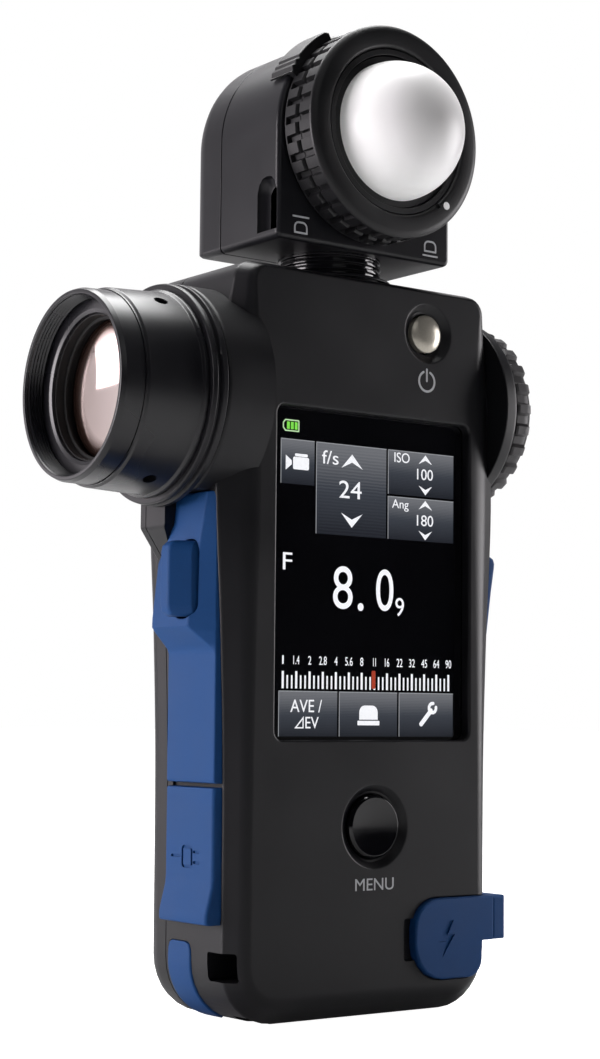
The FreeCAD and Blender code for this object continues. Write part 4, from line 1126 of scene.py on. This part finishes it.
def flange():
    low, high = span("lens_flange")
    r, x0, x1 = (high.z - low.z) / 2, low.x, SHELL[0].x
    made = turned_x("lens_flange", [
        (-29.5, 11.0), (-29.5, 14.0), (x1, 14.0), (x1, r, 0.15), (x1 - 1.0, r, 0.25),
        (x1 - 1.3, r - 0.7, 0.1), (x1 - 1.7, r - 0.7, 0.1), (x1 - 2.0, r - 0.1, 0.25),
        (x0, r - 0.3, 0.35), (x0, 14.2), (-36.4, 14.2), (-36.4, 11.0)])
    edge = finder_axis("lens_flange").y - r
    cut(made, plain_box(x0 - 1, x0 + 1.4, edge - 1, edge + 1.2, 113.0, 117.5))
    settle(made, "finder_flange", SMOOTH, "meter_body", "anodised_black", ["lens_flange"])


def barrel():
    """Lens barrel with its set screws sunk in three holes."""
    low, high = span("lens_barrel")
    x0, x1, r = low.x, high.x, (high.z - low.z) / 2
    made = turned_x("lens_barrel", [
        (x1, 14.2), (x1, r, 0.2), (x1 - 0.8, r - 0.1, 0.2), (x1 - 1.2, r - 0.5, 0.2),
        (x0 + 0.7, r - 1.0, 0.25), (x0 + 0.35, r - 1.35, 0.1), (x0, r - 1.35), (x0, 14.6),
        (-39.6, 14.2)])
    spot = finder_axis("lens_barrel", -42.6)
    screws = []
    for degrees in SET_SCREWS:
        a = math.radians(degrees)
        out = Vector((0, math.cos(a), math.sin(a)))
        cut(made, rod(15.2, 20, 1.25, spot, out, 24))
        screws.append(turned([(14.4, 0), (15.3, 0), (15.6, 0.5), (15.6, 1.1), (14.4, 1.1)],
                             spot, out, 24))
    settle(joined(*screws), "barrel_grub_screws", SCREW, "meter_body", "steel", ["barrel_screws"])
    settle(made, "finder_barrel", ANODISED, "meter_body", "anodised_black", ["lens_barrel"])


def filter_ring():
    """Front ring with its filter thread as separate rounds."""
    low, high = span("front_ring")
    x0, x1, r, bore = low.x, high.x, (high.z - low.z) / 2, 15.25
    points = [(x1, 12.6), (x1, r + 0.1, 0.1), (x0 + 0.9, r, 0.2), (x0, r - 0.35, 0.25),
              (x0, bore + 0.35, 0.15), (x0 + 0.35, bore + 0.1, 0.1)]
    for i in range(5):
        x = x0 + 0.55 + 0.6 * i
        points += [(x, bore + 0.12), (x + 0.3, bore - 0.14)]
    points += [(x0 + 3.6, bore + 0.05), (x0 + 3.7, 13.4, 0.1), (x0 + 3.9, 12.7, 0.15),
               (x0 + 4.3, 12.6, 0.1)]
    finder_piece("front_ring", points, "filter_ring", ANODISED, "anodised_black")


def finder():
    """Lens side of the spot finder."""
    flange()
    barrel()
    filter_ring()

    low, high = span("lens_cell")
    finder_piece("lens_cell", [
        (low.x, 12.4, 0.1), (low.x, 14.4), (-40.0, 13.95), (high.x, 13.95), (high.x, 11.0),
        (-38.6, 11.0), (-38.6, 12.4), (-40.9, 12.45), (-47.3, 12.45), (-47.4, 11.9, 0.1),
        (-47.9, 11.9, 0.1), (-48.0, 12.4)], "lens_cell_tube", DARK, "anodised_black")

    low, high = span("objective_lens")
    r, dip = (high.z - low.z) / 2, 1.5
    bowl = [(low.x + 0.3 + dip * (1 - (k / 12) ** 2), r * k / 12 * 0.97) for k in range(13)]
    edge = [(low.x + 0.5, r - 0.1), (high.x - 0.8, r - 0.1), (high.x, 0)]
    finder_piece("objective_lens", bowl + edge, "objective_glass", LENS, "lens_glass", 60)


def eyepiece():
    """Eyepiece side of the spot finder."""
    low, high = span("eyepiece_housing")
    finder_piece("eyepiece_housing", [
        (low.x, 8.6), (low.x, 13.0), (32.4, 13.0), (high.x, 12.9, 0.2), (high.x, 9.2, 0.2),
        (33.0, 9.2), (33.0, 8.6)], "eyepiece_tube", SMOOTH, "ring_black")

    low, high = span("diopter_ring")
    x0, x1, r, teeth = low.x, high.x, (high.z - low.z) / 2, 26

    def knurl(a, radius, angle):
        if radius < r - 1.2:
            return radius
        return radius - 0.75 * min(max((0.15 - math.cos(teeth * angle)) * 3.0, 0), 1)

    rows = [(x0, 13.0), (x0, r - 1.1), (x0 + 0.35, r - 0.25), (x0 + 0.7, r), (x0 + 1.5, r),
            (x0 + 2.3, r), (x1 - 0.7, r), (x1 - 0.25, r - 0.25), (x1, r - 0.8), (x1, 13.0)]
    ring = turned(rows, finder_axis("diopter_ring"), X_AXIS, teeth * 16, knurl)
    settle(ring, "dioptre_dial", DIAL, "diopter", "ring_black", ["diopter_ring"])

    low, high = span("eyecup")
    finder_piece("eyecup", [
        (low.x, 12.95), (low.x, 14.6, 0.4), (high.x - 0.7, 14.0, 0.9), (high.x, 12.4, 0.9),
        (high.x - 0.2, 10.2, 0.5), (high.x - 1.2, 9.2, 0.2), (high.x - 1.2, 12.95)],
        "eyecup_rubber", BLACK_RUBBER, "rubber_black")

    low, high = span("eyepiece_lens")
    finder_piece("eyepiece_lens", [
        (low.x, 0), (low.x + 0.4, 4.0), (low.x + 1.0, 9.15), (high.x - 0.8, 9.15),
        (high.x - 0.35, 6.0), (high.x - 0.1, 3.0), (high.x, 0)],
        "eyepiece_glass", EYE_GLASS, "lens_glass", 60)


# --- neck and head ---
def neck():
    low, high = span("neck_bushing")
    lip, bore = (high.x - low.x) / 2, 9.58
    bushing = turned(rounded([(low.z, bore), (low.z, lip - 0.95), (TOP, lip - 0.95), (TOP, lip, 0.1),
                              (high.z, lip - 0.2, 0.25), (high.z, bore, 0.1)]), ORIGIN, Z_AXIS)
    settle(bushing, "neck_seat", SMOOTH, "meter_body", "ring_black", ["neck_bushing"])
    low, high = span("neck_post")
    r = (high.x - low.x) / 2
    points = [(low.z, 6.4), (low.z, r)]
    for i in range(3):
        z = TOP + 0.9 + 1.3 * i
        points += [(z, r, 0.12), (z + 0.2, r - 0.45, 0.1), (z + 0.6, r - 0.45, 0.1),
                   (z + 0.8, r, 0.12)]
    points += [(high.z, r), (high.z, 6.4)]
    settle(turned(rounded(points), ORIGIN, Z_AXIS), "neck_tube", GLOSS, "head", "ring_black",
           ["neck_post"])


def head_outline():
    """Arch in X and Z: flat base and sides, round top."""
    half, base = HEAD[1].x, HEAD[0].z
    spring = HEAD[1].z - half
    arch = [(half * math.cos(math.pi * k / 48), spring + half * math.sin(math.pi * k / 48))
            for k in range(49)]
    return [(-half, base, 1.2), (half, base, 1.2)] + arch


def head_hollow():
    back = HEAD_REAR[1].y - WALL
    return slab(inset(head_outline(), WALL), [(HEAD[0].y + WALL, 0), (back - 3, 0), (back, 3.0)])


def post_hole():
    post = span("neck_post")
    return rod(HEAD[0].z - 2, HEAD[0].z + 4, (post[1] - post[0]).x / 2, ORIGIN, Z_AXIS)


def head():
    front, seam, back = HEAD[0].y, HEAD[1].y, HEAD_REAR[1].y
    half, base = HEAD[1].x, HEAD[0].z
    housing = slab(head_outline(), edge_levels(front, seam - SEAM_GAP, 0.9, 0.12))
    groove = [(base + 1.6, 0), (base + 1.6, 2.9), (base + 8.6, 2.9), (base + 10.2, 2.4),
              (base + 11.2, 1.4), (base + 11.5, 0)]
    scallops = [turned(groove, Vector((side * (half + 0.5), front + 3.3, 0)), Z_AXIS, 48)
                for side in (-1, 1)]
    mouth = rod(front - 2, front + 4, 15.2, DOME_AXIS, Y_AXIS, TURN_STEPS)
    cut(housing, head_hollow(), mouth, post_hole(), *scallops)
    settle(housing, "head_front", SMOOTH, "head", "head_black", ["head_housing"])

    cover = slab(head_outline(), edge_levels(seam + SEAM_GAP, back, 0.12, 5.0, 8))
    sinks = [rod(back - 1.0, back + 2, 2.0, Vector((x, 0, base + 5.2)), Y_AXIS, 48)
             for x in (-13.0, 13.0)]
    cut(cover, head_hollow(), post_hole(), *sinks)
    settle(cover, "head_back", SMOOTH, "head", "head_black", ["head_rear_cover"])

    marks, line = [], (0.34, front - PRINT, front)
    for x, dz in ((-14.9, 1.55), (15.2, -1.25)):
        z = base + 2.7
        foot = z - 1.5 if dz > 0 else z - 0.6
        marks.append(rim([(x - 1.5, foot), (x + 1.5, foot), (x + 1.5, foot + 2.2, 1.45),
                          (x - 1.5, foot + 2.2, 1.45)], *line))
        marks.append(stroke([(x - 1.7, z + dz), (x + 1.7, z + dz)], *line))
    settle(joined(*marks), "head_marks", PAINT, "head", "mark_white", sharp=60)


def turned_y(points):
    return turned(rounded(points), DOME_AXIS, Y_AXIS)


def grip_relief(radius, low, high, teeth, depth):
    """Relief that sinks evenly spaced pockets into a band of a ring."""
    def relief(along, r, angle):
        if r < radius - 1.0 or not low <= along <= high:
            return r
        wave = math.cos(teeth * angle)
        return max(r - depth * min(max((wave - 0.25) * 4.0, 0), 1), min(r, radius - depth))
    return relief


def rings():
    """Knurled ring that draws the dome in: a front half with the dot, a rear half with the lug."""
    low, high = span("turning_ring")
    r, front, back = (high.x - low.x) / 2, low.y, high.y
    teeth, steps = 36, 36 * 14
    rows = [(front + 0.6, 15.0), (front + 0.25, 15.15), (front + 0.05, 15.4), (front, 15.7),
            (front, 16.6), (front, 17.9), (front + 0.08, 18.25), (front + 0.3, 18.7),
            (front + 0.6, r - 0.12), (front + 0.8, r), (front + 1.1, r), (front + 1.25, r),
            (back - 1.2, r), (back - 1.05, r), (back - 0.75, r), (back - 0.55, r - 0.2),
            (back - 0.4, 18.4), (back, 18.4), (back, 15.0)]
    relief = grip_relief(r, front + 1.15, back, teeth, 0.9)
    ring = turned(rows, DOME_AXIS, Y_AXIS, steps, relief)
    notch = plain_box(-0.35, 0.35, front - 1, front + 0.5, 14.0, 16.0)
    notch.data.transform(Matrix.Translation(DOME_AXIS)
                         @ Matrix.Rotation(math.radians(90 + 52), 4, (0, 1, 0)))
    cut(ring, notch)
    settle(ring, "turning_ring_front", RING, "retract_ring", "ring_black", ["turning_ring"])

    dot = middle("index_dot")
    mark = turned(rounded([(front - 0.06, 0), (front - 0.06, 0.72, 0.05), (front + 0.4, 0.72),
                           (front + 0.4, 0)]), Vector((dot.x, 0, dot.z)), Y_AXIS, 32)
    settle(mark, "index_mark", DOT, "retract_ring", "mark_white", ["index_dot"])

    low, high = span("grip_ring")
    front, back = low.y, -11.3
    rows = [(front, 15.0), (front, 18.4), (front + 0.15, 18.4), (front + 0.3, r - 0.2),
            (front + 0.5, r), (front + 0.8, r), (front + 0.95, r), (back - 0.95, r),
            (back - 0.8, r), (back - 0.5, r), (back - 0.15, r - 0.25), (back, 18.6), (back, 15.0)]
    relief = grip_relief(r, front + 0.2, back - 0.85, teeth, 0.9)
    ring = turned(rows, DOME_AXIS, Y_AXIS, steps, relief)
    combine(ring, lug(high.y), "UNION")
    settle(ring, "turning_ring_rear", RING, "retract_ring", "ring_black", ["grip_ring"])


def lug(back):
    """Thumb lug of the ring, over the head's arch, with a serrated lower end."""
    outer, under, inner, front, step = 20.95, 20.25, 18.3, -12.6, -11.4
    first, last, count = 120.0, 154.0, 34
    loops = []
    for i in range(count + 1):
        a = math.radians(first + (last - first) * i / count)
        ridge = 0.3 if i > count * 0.62 and i % 4 < 2 else 0.0
        top = outer - 0.35 * max(0.0, 1 - min(i, count - i) / 2.0) - ridge
        section = rounded([(front, inner), (front, top, 0.3), (back, top, 0.4), (back, under),
                           (step, under), (step, inner)], steps=3)
        loops.append([Vector((r * math.cos(a), y, DOME_Z + r * math.sin(a))) for y, r in section])
    return loft(loops)


def dome():
    """Opal dome with the tube that carries it and the fixed sleeve round it."""
    low, high = span("guide_sleeve")
    sleeve = turned_y([(low.y, 13.8, 0.15), (low.y, 14.9, 0.15), (-9.0, 14.9), (-9.0, 15.8),
                       (high.y, 15.8), (high.y, 13.8)])
    settle(sleeve, "sleeve", RING, "head", "ring_black", ["guide_sleeve"])

    low, high = span("lumisphere")
    r = (high.x - low.x) / 2
    tube = span("dome_carrier")
    carrier = turned_y([(tube[0].y, r), (tube[0].y, 13.7, 0.2), (tube[1].y, 13.7),
                        (tube[1].y, 3.0), (-9.6, 3.0), (-9.6, r)])
    settle(carrier, "dome_tube", RING, "dome", "ring_black", ["dome_carrier"])

    base, thin = low.y + r, r - 1.3
    outer = [(base - r * math.cos(a), r * math.sin(a)) for a in quarter(28)]
    inner = [(base - thin * math.sin(a), thin * math.cos(a)) for a in quarter(12)]
    inner[-1] = (inner[-1][0], 0)
    profile = outer + [(high.y, r), (high.y, thin)] + inner
    settle(turned(profile, DOME_AXIS, Y_AXIS), "opal_dome", OPAL, "dome", "opal", ["lumisphere"],
           sharp=50)


# --- CAD nodes that stay ---
def kept_nodes():
    """Materials of the CAD nodes that stay, most of them inside."""
    for material, names in (
            (SCREW, "case_screws head_screws"),
            (STEEL, "battery_hinge_pin battery_contacts usb_port measuring_switch memory_switch "
                    "front_switches neck_retainer"),
            (SMOOTH, "battery_tray finder_tube"), (CELL, "battery_cell_left battery_cell_right"),
            (BOARD, "main_board spot_sensor light_sensor"), (PANEL, "display_panel"),
            (BRASS, "tripod_socket sync_terminal"), (EYE_GLASS, "beam_splitter")):
        for name in names.split():
            mesh = frame["nodes"][name].data
            mesh.materials.clear()
            mesh.materials.append(material)


studio()
case_pieces()
battery_door()
side_pad()
measuring_key()
port_flap()
corner_inlay()
sync_flap()
memory_key()
front_keys()
screen_glass()
screen_picture()
front_marks()
finder()
eyepiece()
neck()
head()
rings()
dome()
kept_nodes()
